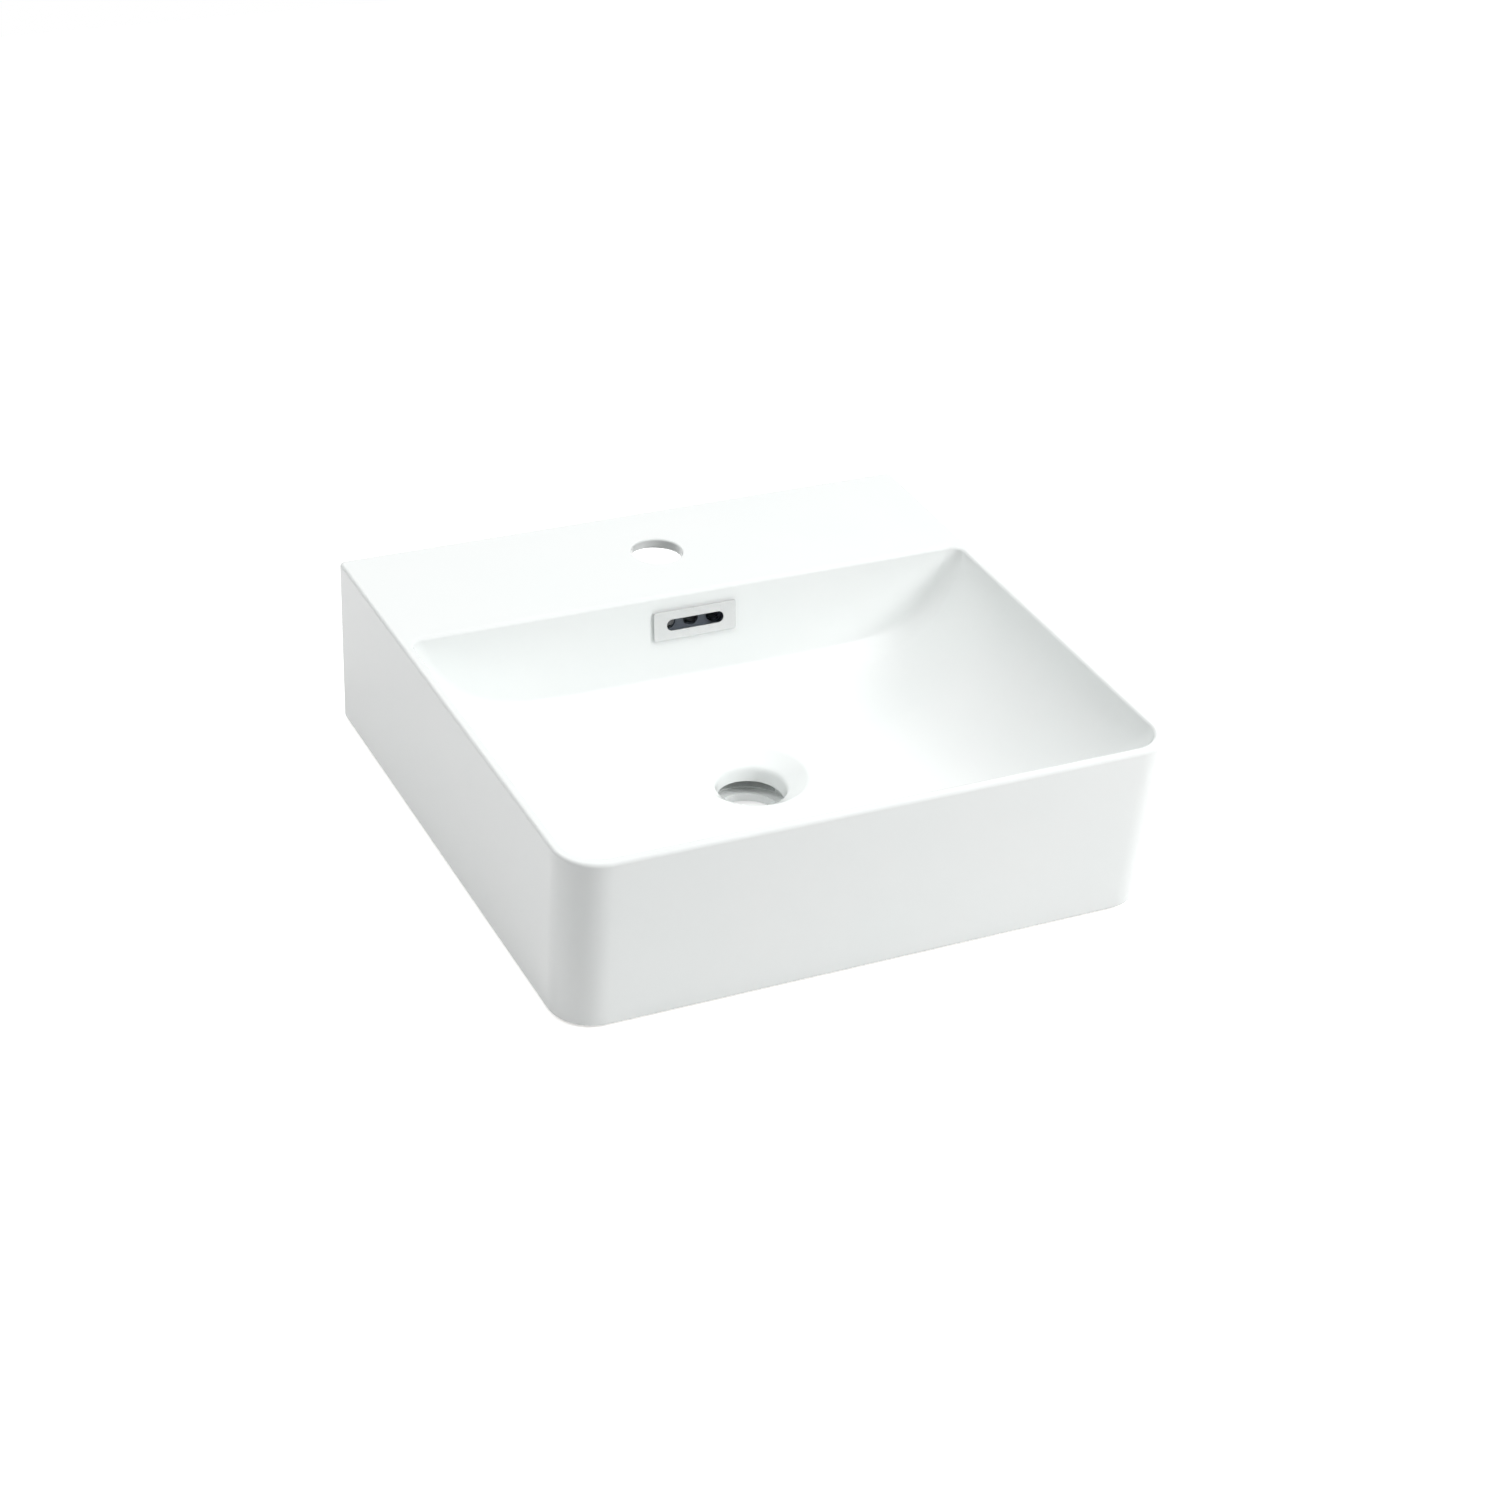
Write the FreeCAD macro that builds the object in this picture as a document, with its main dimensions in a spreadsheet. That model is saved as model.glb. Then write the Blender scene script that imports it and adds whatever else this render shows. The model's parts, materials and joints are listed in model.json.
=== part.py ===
import FreeCAD, Part
import math
import os

import Sketcher

"""Slim-rimmed rectangular ceramic washbasin with a tap deck and a built-in overflow.

Frame: origin on the floor plane under the middle of the basin, +X to the right of
someone standing at it, +Y towards the wall, +Z up. All lengths are in millimetres.

The basin is one fired casting: an outer apron, a deck, a bowl shell hung inside them, a
waste boss under the bowl and an overflow duct cast behind its rear wall. The overflow
opening carries a push-in trim of three loose pieces: a carrier, a seal and a cover.
"""

SIZES = {
    # Casting, outside
    "width": 420.0,                # side to side at the rim
    "depth": 400.0,                # front to wall at the rim
    "height": 122.0,               # foot to rim
    "side_draft": 3.4,             # each side leans in by this at the foot
    "front_draft": 5.0,            # the front leans in by this at the foot
    "front_corner": 28.5,          # upright corner radius at the front
    "rear_corner": 4.5,            # upright corner radius at the wall
    "rim_edge": 2.4,               # rounding of the rim's outer edge
    "mouth_edge": 2.2,             # rounding of the rim's inner edge
    "foot_edge": 3.5,              # rounding of the foot's outer edge
    # Casting, walls
    "rim_wall": 7.0,               # rim thickness beside and before the bowl
    "apron_wall": 8.0,             # apron thickness below the rim
    "rear_wall": 10.0,             # wall that the fixings pull against
    "deck_thickness": 8.0,
    "bowl_wall": 9.0,              # bowl shell thickness
    # Bowl
    "deck_depth": 116.5,           # rear face to the bowl's rear edge
    "bowl_depth": 81.0,            # rim to the foot of the bowl walls
    "floor_fall": 3.0,             # further fall of the floor to the dish
    "fall_radius": 60.0,           # where that fall begins, about the waste axis
    "side_slope": 0.2,             # lean of the side walls, run over drop
    "side_sweep": 88.0,            # run of the curve from side wall to floor
    "front_slope": 0.2,
    "front_sweep": 60.0,
    "rear_slope": 0.16,
    "rear_sweep": 28.0,
    "rear_sweep_height": 30.0,     # drop over which the rear wall curves into the floor
    "mouth_corner_front": 21.5,    # bowl corner radii at the rim and at the floor
    "mouth_corner_rear": 9.0,
    "floor_corner_front": 50.0,
    "floor_corner_rear": 34.0,
    "shell_corner": 20.0,          # corner cut of the shell's outside at the rim and at the floor
    "shell_corner_floor": 34.0,
    # Waste
    "waste_forward": 20.0,         # waste axis, before the middle of the basin
    "dish_radius": 38.7,           # outer edge of the dished seat
    "seat_radius": 23.6,           # inner edge of the dished seat
    "seat_drop": 9.0,              # fall of the seat
    "bore_radius": 22.75,          # waste hole
    "bore_drop": 9.0,              # seat down to the bore's upper edge
    "chamber_radius": 31.0,        # ring chamber that the overflow drains into
    "chamber_height": 10.0,
    "chamber_lip": 1.5,            # ceramic left above the chamber at the bore's upper edge
    "boss_radius": 40.0,
    "boss_flare": 50.0,            # boss radius where it meets the bowl shell
    "boss_base": 2.0,              # underside of the boss above the foot
    # Tap hole
    "tap_setback": 56.0,           # rear face to the tap axis
    "tap_radius": 17.5,
    "tap_edge": 1.2,
    # Wall fixings
    "fixing_spacing": 280.0,
    "fixing_drop": 46.0,           # rim to the fixing holes
    "fixing_radius": 7.0,
    # Access opening in the rear wall
    "access_length": 160.0,
    "access_height": 62.0,
    "access_drop": 20.0,           # rim to the opening's upper edge
    "access_corner": 12.0,
    # Overflow, in the casting
    "overflow_drop": 20.3,         # rim to the middle of the overflow
    "opening_length": 53.0,
    "opening_height": 15.0,
    "duct_length": 56.0,           # duct bore, side to side
    "duct_bore": 9.0,              # duct bore, front to back
    "duct_wall": 7.0,
    "duct_bend": 24.0,
    "duct_entry": 15.0,            # how far the duct runs on into the ring chamber
    # Overflow trim
    "cover_length": 60.5,
    "cover_height": 20.8,
    "cover_thickness": 2.0,
    "cover_corner": 1.4,
    "cover_bevel": 0.5,
    "slot_length": 42.0,
    "slot_height": 8.0,
    "trim_clearance": 0.3,         # round the carrier and its flange
    "cover_gap": 0.15,             # between the wall and the back of the cover
    "seal_thickness": 0.6,
    "seal_margin": 1.8,            # how far seal and flange reach past the opening
    "flange_thickness": 0.8,
    "carrier_depth": 13.0,         # reach of the carrier behind the wall face
    "carrier_wall": 1.2,
    "plate_depth": 7.4,            # back of its pierced plate behind the wall face
    "plate_thickness": 1.6,
    "plate_hole": 5.6,             # radius of each of the three water holes
    "plate_pitch": 16.8,           # spacing of those holes
    "barb_reach": 0.9,             # how far each end barb stands out
    "barb_height": 6.0,
}

BOWL_STEPS = 12                    # spans between level sections, rim to floor
SHELL_STEPS = 3                    # the same for the shell's outside
UPRIGHT = FreeCAD.Vector(0, 0, 1)
CROSSWISE = FreeCAD.Vector(1, 0, 0)

doc = FreeCAD.newDocument("Washbasin")
sheet = doc.addObject("Spreadsheet::Sheet", "Sizes")


def fill_sheet():
    """Write every driving size to the sheet under its own alias."""
    for row, (alias, value) in enumerate(SIZES.items(), start=1):
        sheet.set(f"A{row}", alias.replace("_", " "))
        sheet.set(f"B{row}", str(value))
        sheet.setAlias(f"B{row}", alias)
    doc.recompute()


def size(expression):
    """Value of an expression over the sheet's aliases."""
    value = sheet.evalExpression(expression)
    return float(getattr(value, "Value", value))


def new_body(label):
    """Empty body with its own label."""
    body = doc.addObject("PartDesign::Body", label)
    body.Label = label
    return body


def new_sketch(body, name, plane, offset="0", tilt="0"):
    """Sketch on one of the body's origin planes, moved along its normal and tilted about its own x."""
    sketch = body.newObject("Sketcher::SketchObject", name)
    origin_plane = next(item for item in body.Origin.OriginFeatures if item.Role == plane)
    sketch.AttachmentSupport = [(origin_plane, "")]
    sketch.MapMode = "FlatFace"
    sketch.AttachmentOffset = FreeCAD.Placement(FreeCAD.Vector(0, 0, 1), FreeCAD.Rotation(CROSSWISE, 1))
    sketch.setExpression("AttachmentOffset.Base.z", offset)
    sketch.setExpression("AttachmentOffset.Rotation.Angle", tilt)
    return sketch


def fix_point(sketch, name, element, vertex, across, up):
    """Tie a point of the sketch to its place across and up from the sketch's origin."""
    for axis, kind, place in (("x", "DistanceX", across), ("y", "DistanceY", up)):
        if place is None:
            continue
        label = f"{name}_{axis}"
        index = sketch.addConstraint(Sketcher.Constraint(kind, -1, 1, element, vertex, size(place)))
        sketch.renameConstraint(index, label)
        sketch.setExpression(f"Constraints.{label}", place)


def fix_radius(sketch, name, arc, radius):
    """Tie the radius of an arc or circle."""
    index = sketch.addConstraint(Sketcher.Constraint("Radius", arc, size(radius)))
    sketch.renameConstraint(index, name)
    sketch.setExpression(f"Constraints.{name}", radius)


def quarter_arc(across, up, radius, start):
    """Quarter circle about a centre, from a start angle in degrees."""
    circle = Part.Circle(FreeCAD.Vector(across, up, 0), UPRIGHT, radius)
    return Part.ArcOfCircle(circle, math.radians(start), math.radians(start + 90))


def rounded_outline(sketch, side, front, rear, front_radius, rear_radius):
    """Rounded rectangle, alike left and right. Front and rear are signed places along the sketch's y."""
    half, low, high = size(side), size(front), size(rear)
    near, far = size(front_radius), size(rear_radius)
    corners = ((near - half, low + near, near, 180), (half - near, low + near, near, 270),
               (half - far, high - far, far, 0), (far - half, high - far, far, 90))
    arcs = [quarter_arc(*corner) for corner in corners]
    for arc in arcs:
        sketch.addGeometry(arc, False)
    for index, arc in enumerate(arcs):
        following = arcs[(index + 1) % 4]
        line = sketch.addGeometry(Part.LineSegment(arc.EndPoint, following.StartPoint), False)
        sketch.addConstraint(Sketcher.Constraint("Tangent", index, 2, line, 1))
        sketch.addConstraint(Sketcher.Constraint("Tangent", line, 2, (index + 1) % 4, 1))
        direction = "Horizontal" if index % 2 == 0 else "Vertical"
        sketch.addConstraint(Sketcher.Constraint(direction, line))
    front_line, right_line, rear_line, left_line = 4, 5, 6, 7
    fix_point(sketch, "front", front_line, 1, None, front)
    fix_point(sketch, "right", right_line, 1, side, None)
    fix_point(sketch, "rear", rear_line, 1, None, rear)
    fix_point(sketch, "left", left_line, 1, f"-({side})", None)
    sketch.addConstraint(Sketcher.Constraint("Equal", 0, 1))
    sketch.addConstraint(Sketcher.Constraint("Equal", 2, 3))
    fix_radius(sketch, "front_radius", 0, front_radius)
    fix_radius(sketch, "rear_radius", 2, rear_radius)
    return sketch


def obround(sketch, length, height, middle="0"):
    """Slot shape with round ends, its middle on the sketch's y."""
    half, radius, level = size(length) / 2, size(height) / 2, size(middle)
    reach = half - radius
    ends = []
    for across, start in ((reach, -90), (-reach, 90)):
        circle = Part.Circle(FreeCAD.Vector(across, level, 0), UPRIGHT, radius)
        ends.append(Part.ArcOfCircle(circle, math.radians(start), math.radians(start + 180)))
    for end in ends:
        sketch.addGeometry(end, False)
    sketch.addGeometry(Part.LineSegment(ends[0].EndPoint, ends[1].StartPoint), False)
    sketch.addGeometry(Part.LineSegment(ends[1].EndPoint, ends[0].StartPoint), False)
    for first, first_end, second in ((0, 2, 2), (2, 2, 1), (1, 2, 3), (3, 2, 0)):
        sketch.addConstraint(Sketcher.Constraint("Tangent", first, first_end, second, 1))
    fix_radius(sketch, "end_radius", 0, f"({height}) / 2")
    fix_point(sketch, "right", 0, 3, f"(({length}) - ({height})) / 2", middle)
    fix_point(sketch, "left", 1, 3, f"(({height}) - ({length})) / 2", middle)
    return sketch


def closed_chain(sketch, corners):
    """Closed polygon through (across, up) corners."""
    places = [FreeCAD.Vector(size(across), size(up), 0) for across, up in corners]
    count = len(places)
    for index in range(count):
        following = places[(index + 1) % count]
        sketch.addGeometry(Part.LineSegment(places[index], following), False)
    for index, (across, up) in enumerate(corners):
        sketch.addConstraint(Sketcher.Constraint("Coincident", index, 2, (index + 1) % count, 1))
        fix_point(sketch, f"corner_{index}", index, 1, across, up)
    return sketch


def circles(sketch, places, radius):
    """Circles of one radius at (across, up) places."""
    for index, (across, up) in enumerate(places):
        centre = FreeCAD.Vector(size(across), size(up), 0)
        ring = sketch.addGeometry(Part.Circle(centre, UPRIGHT, size(radius)), False)
        fix_point(sketch, f"centre_{index}", ring, 3, across, up)
        fix_radius(sketch, f"radius_{index}", ring, radius)
    return sketch


def extrude(body, kind, name, sketch, length, away=False):
    """Pad or pocket of a sketch, along its normal or away from it."""
    feature = body.newObject(f"PartDesign::{kind}", name)
    feature.Profile = sketch
    feature.Reversed = away
    feature.setExpression("Length", length)
    return feature


def pipe(body, kind, name, profile, path):
    """Sweep of a profile along a path, added or cut."""
    feature = body.newObject(f"PartDesign::{kind}Pipe", name)
    feature.Profile = profile
    feature.Spine = path
    return feature


def revolve(body, kind, name, sketch):
    """Full turn of a sketch about its own upright axis, added or cut."""
    feature = body.newObject(f"PartDesign::{kind}", name)
    feature.Profile = sketch
    feature.ReferenceAxis = (sketch, ["V_Axis"])
    feature.Angle = 360
    return feature


def ease_edges(body, kind, name, property_name, amount, wanted):
    """Round or bevel every edge of the body's present shape for which wanted(edge) is true."""
    doc.recompute()
    base = body.Tip
    edges = [f"Edge{index}" for index, edge in enumerate(base.Shape.Edges, start=1) if wanted(edge)]
    feature = body.newObject(f"PartDesign::{kind}", name)
    feature.Base = (base, edges)
    feature.setExpression(property_name, amount)


def round_edges(body, name, radius, wanted):
    """Fillet the wanted edges."""
    ease_edges(body, "Fillet", name, "Radius", radius, wanted)


def bevel_edges(body, name, width, wanted):
    """Chamfer the wanted edges."""
    ease_edges(body, "Chamfer", name, "Size", width, wanted)


def lies_level(edge, level):
    """True where the whole edge lies at one height."""
    box = edge.BoundBox
    return abs(box.ZMin - level) < 0.01 and abs(box.ZMax - level) < 0.01


def is_ring(edge, radius, level):
    """True for a whole level circle of this radius."""
    box = edge.BoundBox
    return (edge.isClosed() and lies_level(edge, level)
            and abs(box.XLength - 2 * radius) < 0.1 and abs(box.YLength - 2 * radius) < 0.1)


def all_within(edge, side, front, rear):
    """True where every corner of the edge is inside an upright box about the origin."""
    slack = 0.01
    return all(abs(vertex.X) < side + slack and -front - slack < vertex.Y < rear + slack
               for vertex in edge.Vertexes)


def any_on_border(edge, side, front, rear):
    """True where a corner of the edge lies on the border of an upright box about the origin."""
    slack = 0.01
    return any(abs(abs(vertex.X) - side) < slack or abs(vertex.Y + front) < slack
               or abs(vertex.Y - rear) < slack for vertex in edge.Vertexes)


# Bowl geometry, as expressions over the sheet

BOWL_REAR = "(Sizes.depth / 2 - Sizes.deck_depth)"
BOWL_FRONT = "(Sizes.depth / 2 - Sizes.rim_wall)"
BOWL_SIDE = "(Sizes.width / 2 - Sizes.rim_wall)"
FLOOR_LEVEL = "(Sizes.height - Sizes.bowl_depth)"
DISH_LEVEL = f"({FLOOR_LEVEL} - Sizes.floor_fall)"
SEAT_LEVEL = f"({DISH_LEVEL} - Sizes.seat_drop)"
BORE_LEVEL = f"({SEAT_LEVEL} - Sizes.bore_drop)"
DECK_UNDERSIDE = "(Sizes.height - Sizes.deck_thickness)"


def turn_share(steps, step):
    """Share of the bowl's depth at one of its level sections, closer together near the floor."""
    return f"sin(90 * {step} / {steps})"


def swept_inset(slope, sweep, share):
    """How far a wall has come in at a share of the bowl's depth: a lean plus a quarter ellipse."""
    return (f"({slope} * {share} * Sizes.bowl_depth"
            f" + {sweep} * (1 - sqrt(1 - {share} ^ 2)))")


def rear_curve_share(share):
    """Share of the rear wall's own curve that is spent at a share of the bowl's depth."""
    return f"max(0; 1 - (1 - {share}) * Sizes.bowl_depth / Sizes.rear_sweep_height)"


def rear_inset(share):
    """Inset of the rear wall, which stays straight until its curve begins."""
    return (f"(Sizes.rear_slope * {share} * Sizes.bowl_depth"
            f" + Sizes.rear_sweep * (1 - sqrt(1 - {rear_curve_share(share)} ^ 2)))")


def bowl_reach(share):
    """Half width, front reach and rear place of the bowl at a share of the bowl's depth."""
    side = f"{BOWL_SIDE} - {swept_inset('Sizes.side_slope', 'Sizes.side_sweep', share)}"
    front = f"{BOWL_FRONT} - {swept_inset('Sizes.front_slope', 'Sizes.front_sweep', share)}"
    return side, front, f"{BOWL_REAR} - {rear_inset(share)}"


def bowl_section(body, name, share):
    """Level section of the bowl. Its corners grow wider towards the floor."""
    side, front, rear = bowl_reach(share)
    near = f"Sizes.mouth_corner_front + {share} * (Sizes.floor_corner_front - Sizes.mouth_corner_front)"
    far = f"Sizes.mouth_corner_rear + {share} * (Sizes.floor_corner_rear - Sizes.mouth_corner_rear)"
    sketch = new_sketch(body, name, "XY_Plane", f"Sizes.height - {share} * Sizes.bowl_depth")
    return rounded_outline(sketch, side, f"-({front})", rear, near, far)


def shell_section(body, name, share):
    """Level section of the shell's outside: the bowl's section grown by the wall, with cut corners."""
    side, front, rear = bowl_reach(share)
    grown = f"Sizes.bowl_wall * sqrt(1 - {share} ^ 2)"
    grown_rear = f"Sizes.bowl_wall * sqrt(1 - {rear_curve_share(share)} ^ 2)"
    side = f"min({side} + {grown}; Sizes.width / 2 - Sizes.rim_edge / 2)"
    front = f"min({front} + {grown}; Sizes.depth / 2 - Sizes.rim_edge / 2)"
    rear = f"{rear} + {grown_rear}"
    cut = f"(Sizes.shell_corner + {share} * (Sizes.shell_corner_floor - Sizes.shell_corner))"
    top = "Sizes.height - 0.8 * Sizes.deck_thickness"
    level = f"min(Sizes.height - {share} * (Sizes.bowl_depth + Sizes.bowl_wall); {top})"
    sketch = new_sketch(body, name, "XY_Plane", level)
    return closed_chain(sketch, ((f"{cut} - ({side})", f"-({front})"), (f"{side} - {cut}", f"-({front})"),
                                 (side, f"{cut} - ({front})"), (side, f"{rear} - {cut}"),
                                 (f"{side} - {cut}", rear), (f"{cut} - ({side})", rear),
                                 (f"-({side})", f"{rear} - {cut}"), (f"-({side})", f"{cut} - ({front})")))


def loft(body, kind, name, section, steps):
    """Ruled loft of the bowl or its shell from the rim to the floor, closer sections near the floor."""
    sections = [section(body, f"{name}Section{step}", turn_share(steps, step))
                for step in range(steps + 1)]
    feature = body.newObject(f"PartDesign::{kind}Loft", name)
    feature.Profile = sections[0]
    feature.Sections = sections[1:]
    feature.Ruled = True
    return feature


# The casting

def drafted_block(body, kind, name, base, top, wall, rear_wall):
    """Block with an upright rear and leaning front and sides, between two levels, moved in by its walls."""
    block = body.newObject(f"PartDesign::{kind}Wedge", name)
    plane = next(item for item in body.Origin.OriginFeatures if item.Role == "XY_Plane")
    block.AttachmentSupport = [(plane, "")]
    block.MapMode = "FlatFace"
    block.AttachmentOffset = FreeCAD.Placement(FreeCAD.Vector(), FreeCAD.Rotation(CROSSWISE, 90))
    block.setExpression("Ymin", base)
    block.setExpression("Ymax", top)
    block.setExpression("Zmin", f"{rear_wall} - Sizes.depth / 2")
    block.setExpression("Z2min", f"{rear_wall} - Sizes.depth / 2")
    for level, low, high, front in ((base, "Xmin", "Xmax", "Zmax"), (top, "X2min", "X2max", "Z2max")):
        lean = f"(1 - ({level}) / Sizes.height)"
        side = f"(Sizes.width / 2 - Sizes.side_draft * {lean} - {wall})"
        block.setExpression(low, f"-{side}")
        block.setExpression(high, side)
        block.setExpression(front, f"Sizes.depth / 2 - Sizes.front_draft * {lean} - {wall}")
    return block


def is_upright(edge, half_width, along, slack):
    """True for a near-upright edge at this distance from the middle plane and this place along y."""
    box = edge.BoundBox
    middle = box.Center
    return (box.ZLength > 10 * slack and abs(abs(middle.x) - half_width) < slack
            and abs(middle.y - along) < slack)


def round_uprights(body, name, radius, side, along):
    """Round the upright edges, left and right, near this side reach and place along y."""
    slack = max(size("Sizes.side_draft"), size("Sizes.front_draft"))
    round_edges(body, name, radius, lambda edge: is_upright(edge, size(side), size(along), slack))


def add_apron(body):
    """Solid drafted block, then the hollow that leaves the apron, the rear wall and the deck."""
    side = "Sizes.width / 2 - Sizes.apron_wall"
    drafted_block(body, "Additive", "Apron", "0", "Sizes.height", "0", "0")
    drafted_block(body, "Subtractive", "Underside", "0", DECK_UNDERSIDE,
                  "Sizes.apron_wall", "Sizes.rear_wall")
    round_uprights(body, "InnerFrontCorners", "Sizes.front_corner - Sizes.apron_wall",
                   side, "Sizes.apron_wall - Sizes.depth / 2")
    round_uprights(body, "InnerRearCorners", "Sizes.rear_corner",
                   side, "Sizes.depth / 2 - Sizes.rear_wall")
    round_uprights(body, "FrontCorners", "Sizes.front_corner", "Sizes.width / 2", "-Sizes.depth / 2")
    round_uprights(body, "RearCorners", "Sizes.rear_corner", "Sizes.width / 2", "Sizes.depth / 2")


def add_waste_boss(body):
    """Round boss under the bowl that the waste fitting clamps through."""
    sketch = new_sketch(body, "BossSection", "XZ_Plane", "Sizes.waste_forward")
    closed_chain(sketch, (("0", "Sizes.boss_base"),
                          ("Sizes.boss_radius", "Sizes.boss_base"),
                          ("Sizes.boss_radius", BORE_LEVEL),
                          ("Sizes.boss_flare", f"{DISH_LEVEL} - Sizes.bowl_wall / 2"),
                          ("0", f"{DISH_LEVEL} - Sizes.bowl_wall / 2")))
    revolve(body, "Revolution", "WasteBoss", sketch)


CHAMBER_MIDDLE = f"({BORE_LEVEL} - Sizes.chamber_lip - Sizes.chamber_height / 2)"
OVERFLOW_LEVEL = "(Sizes.height - Sizes.overflow_drop)"
WALL_FACE = f"({BOWL_REAR} - Sizes.rear_slope * Sizes.overflow_drop)"
DUCT_TOP = f"({DECK_UNDERSIDE} - Sizes.trim_clearance)"
DUCT_LINE = (f"({BOWL_REAR} - Sizes.rear_slope * (Sizes.height - {DUCT_TOP})"
             " + Sizes.bowl_wall + Sizes.duct_bore / 2)")


def duct_path(body):
    """Middle line of the overflow duct: down behind the rear wall, then forward to the chamber."""
    sketch = new_sketch(body, "DuctPath", "YZ_Plane")
    start = FreeCAD.Vector(size(DUCT_LINE), size(DUCT_TOP), 0)
    end_across = "Sizes.chamber_radius - Sizes.waste_forward - Sizes.duct_entry"
    end = FreeCAD.Vector(size(end_across), size(CHAMBER_MIDDLE), 0)
    lean = math.atan(size("Sizes.rear_slope"))
    bend = size("Sizes.duct_bend")
    down = FreeCAD.Vector(-math.sin(lean), -math.cos(lean), 0)
    inward = FreeCAD.Vector(-math.cos(lean), math.sin(lean), 0)
    drop = (start.y - end.y - bend + bend * inward.y) / math.cos(lean)
    turn_in = start + down * drop
    centre = turn_in + inward * bend
    turn_out = centre + FreeCAD.Vector(0, -bend, 0)
    circle = Part.Circle(centre, UPRIGHT, bend)
    fall = sketch.addGeometry(Part.LineSegment(start, turn_in), False)
    arc = sketch.addGeometry(Part.ArcOfCircle(circle, -math.pi / 2, -lean), False)
    run = sketch.addGeometry(Part.LineSegment(turn_out, end), False)
    sketch.addConstraint(Sketcher.Constraint("Tangent", fall, 2, arc, 2))
    sketch.addConstraint(Sketcher.Constraint("Tangent", arc, 1, run, 1))
    sketch.addConstraint(Sketcher.Constraint("Horizontal", run))
    turn_level = f"({CHAMBER_MIDDLE} + Sizes.duct_bend * (1 - sin(atan(Sizes.rear_slope))))"
    fix_point(sketch, "top", fall, 1, DUCT_LINE, DUCT_TOP)
    turn_across = f"{DUCT_LINE} - Sizes.rear_slope * ({DUCT_TOP} - {turn_level})"
    fix_point(sketch, "turn", fall, 2, turn_across, None)
    fix_point(sketch, "end", run, 2, end_across, CHAMBER_MIDDLE)
    fix_radius(sketch, "bend", arc, "Sizes.duct_bend")
    return sketch


def duct_profile(body, name, length, inner, outer):
    """Cross-section of the duct at its top, square to the path. Inner is the bowl's side of it."""
    sketch = new_sketch(body, name, "XY_Plane", DUCT_TOP, "-atan(Sizes.rear_slope)")
    sketch.setExpression("AttachmentOffset.Base.y", DUCT_LINE)
    half = f"({length}) / 2"
    return closed_chain(sketch, ((f"-{half}", f"-({inner})"), (half, f"-({inner})"),
                                 (half, outer), (f"-{half}", outer)))


def cut_waste(body):
    """Fall of the floor, dished seat, waste hole and the ring chamber round it, turned in one cut."""
    sketch = new_sketch(body, "WasteSection", "XZ_Plane", "Sizes.waste_forward")
    chamber_top = f"{BORE_LEVEL} - Sizes.chamber_lip"
    chamber_base = f"{chamber_top} - Sizes.chamber_height"
    closed_chain(sketch, (("0", "-Sizes.boss_base"),
                          ("Sizes.bore_radius", "-Sizes.boss_base"),
                          ("Sizes.bore_radius", chamber_base),
                          ("Sizes.chamber_radius", chamber_base),
                          ("Sizes.chamber_radius", chamber_top),
                          ("Sizes.bore_radius", chamber_top),
                          ("Sizes.bore_radius", BORE_LEVEL),
                          ("Sizes.seat_radius", SEAT_LEVEL),
                          ("Sizes.dish_radius", DISH_LEVEL),
                          ("Sizes.fall_radius", FLOOR_LEVEL),
                          ("0", FLOOR_LEVEL)))
    revolve(body, "Groove", "Waste", sketch)


def add_duct(body, path):
    """Solid of the overflow duct, bulging out behind the bowl and merging into its shell."""
    half_bore = "Sizes.duct_bore / 2"
    profile = duct_profile(body, "DuctOutside", "Sizes.duct_length + 2 * Sizes.duct_wall",
                           f"{half_bore} + Sizes.duct_wall + Sizes.bowl_wall",
                           f"{half_bore} + Sizes.duct_wall")
    pipe(body, "Additive", "DuctSolid", profile, path)


def cut_overflow(body, path):
    """Bore of the duct, and the slot through the rear bowl wall that feeds it."""
    half_bore = "Sizes.duct_bore / 2"
    bore = duct_profile(body, "DuctInside", "Sizes.duct_length", half_bore, half_bore)
    pipe(body, "Subtractive", "DuctBore", bore, path)
    sketch = new_sketch(body, "OpeningSection", "XZ_Plane", f"-{WALL_FACE}", "-atan(Sizes.rear_slope)")
    sketch.setExpression("AttachmentOffset.Base.y", OVERFLOW_LEVEL)
    obround(sketch, "Sizes.opening_length", "Sizes.opening_height")
    reach = "Sizes.bowl_wall + Sizes.duct_bore / 2"
    opening = extrude(body, "Pocket", "Opening", sketch, reach)
    opening.Midplane = True
    opening.setExpression("Length", f"2 * ({reach})")


def cut_tap_hole(body):
    """Hole through the deck for a single tap."""
    sketch = new_sketch(body, "TapSection", "XY_Plane", "Sizes.height")
    circles(sketch, (("0", "Sizes.depth / 2 - Sizes.tap_setback"),), "Sizes.tap_radius")
    extrude(body, "Pocket", "TapHole", sketch, "2 * Sizes.deck_thickness")


def cut_fixings(body):
    """Two holes in the rear wall for the hanger bolts."""
    sketch = new_sketch(body, "FixingSection", "XZ_Plane", "-Sizes.depth / 2")
    half, level = "Sizes.fixing_spacing / 2", "Sizes.height - Sizes.fixing_drop"
    circles(sketch, ((f"-{half}", level), (half, level)), "Sizes.fixing_radius")
    extrude(body, "Pocket", "FixingHoles", sketch, "2 * Sizes.rear_wall", away=True)


def cut_access(body):
    """Opening in the rear wall that lets a hand and the supply hoses reach the tap."""
    sketch = new_sketch(body, "AccessSection", "XZ_Plane", "-Sizes.depth / 2")
    upper = "Sizes.height - Sizes.access_drop"
    rounded_outline(sketch, "Sizes.access_length / 2", f"{upper} - Sizes.access_height", upper,
                    "Sizes.access_corner", "Sizes.access_corner")
    extrude(body, "Pocket", "Access", sketch, "2 * Sizes.rear_wall", away=True)


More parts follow.
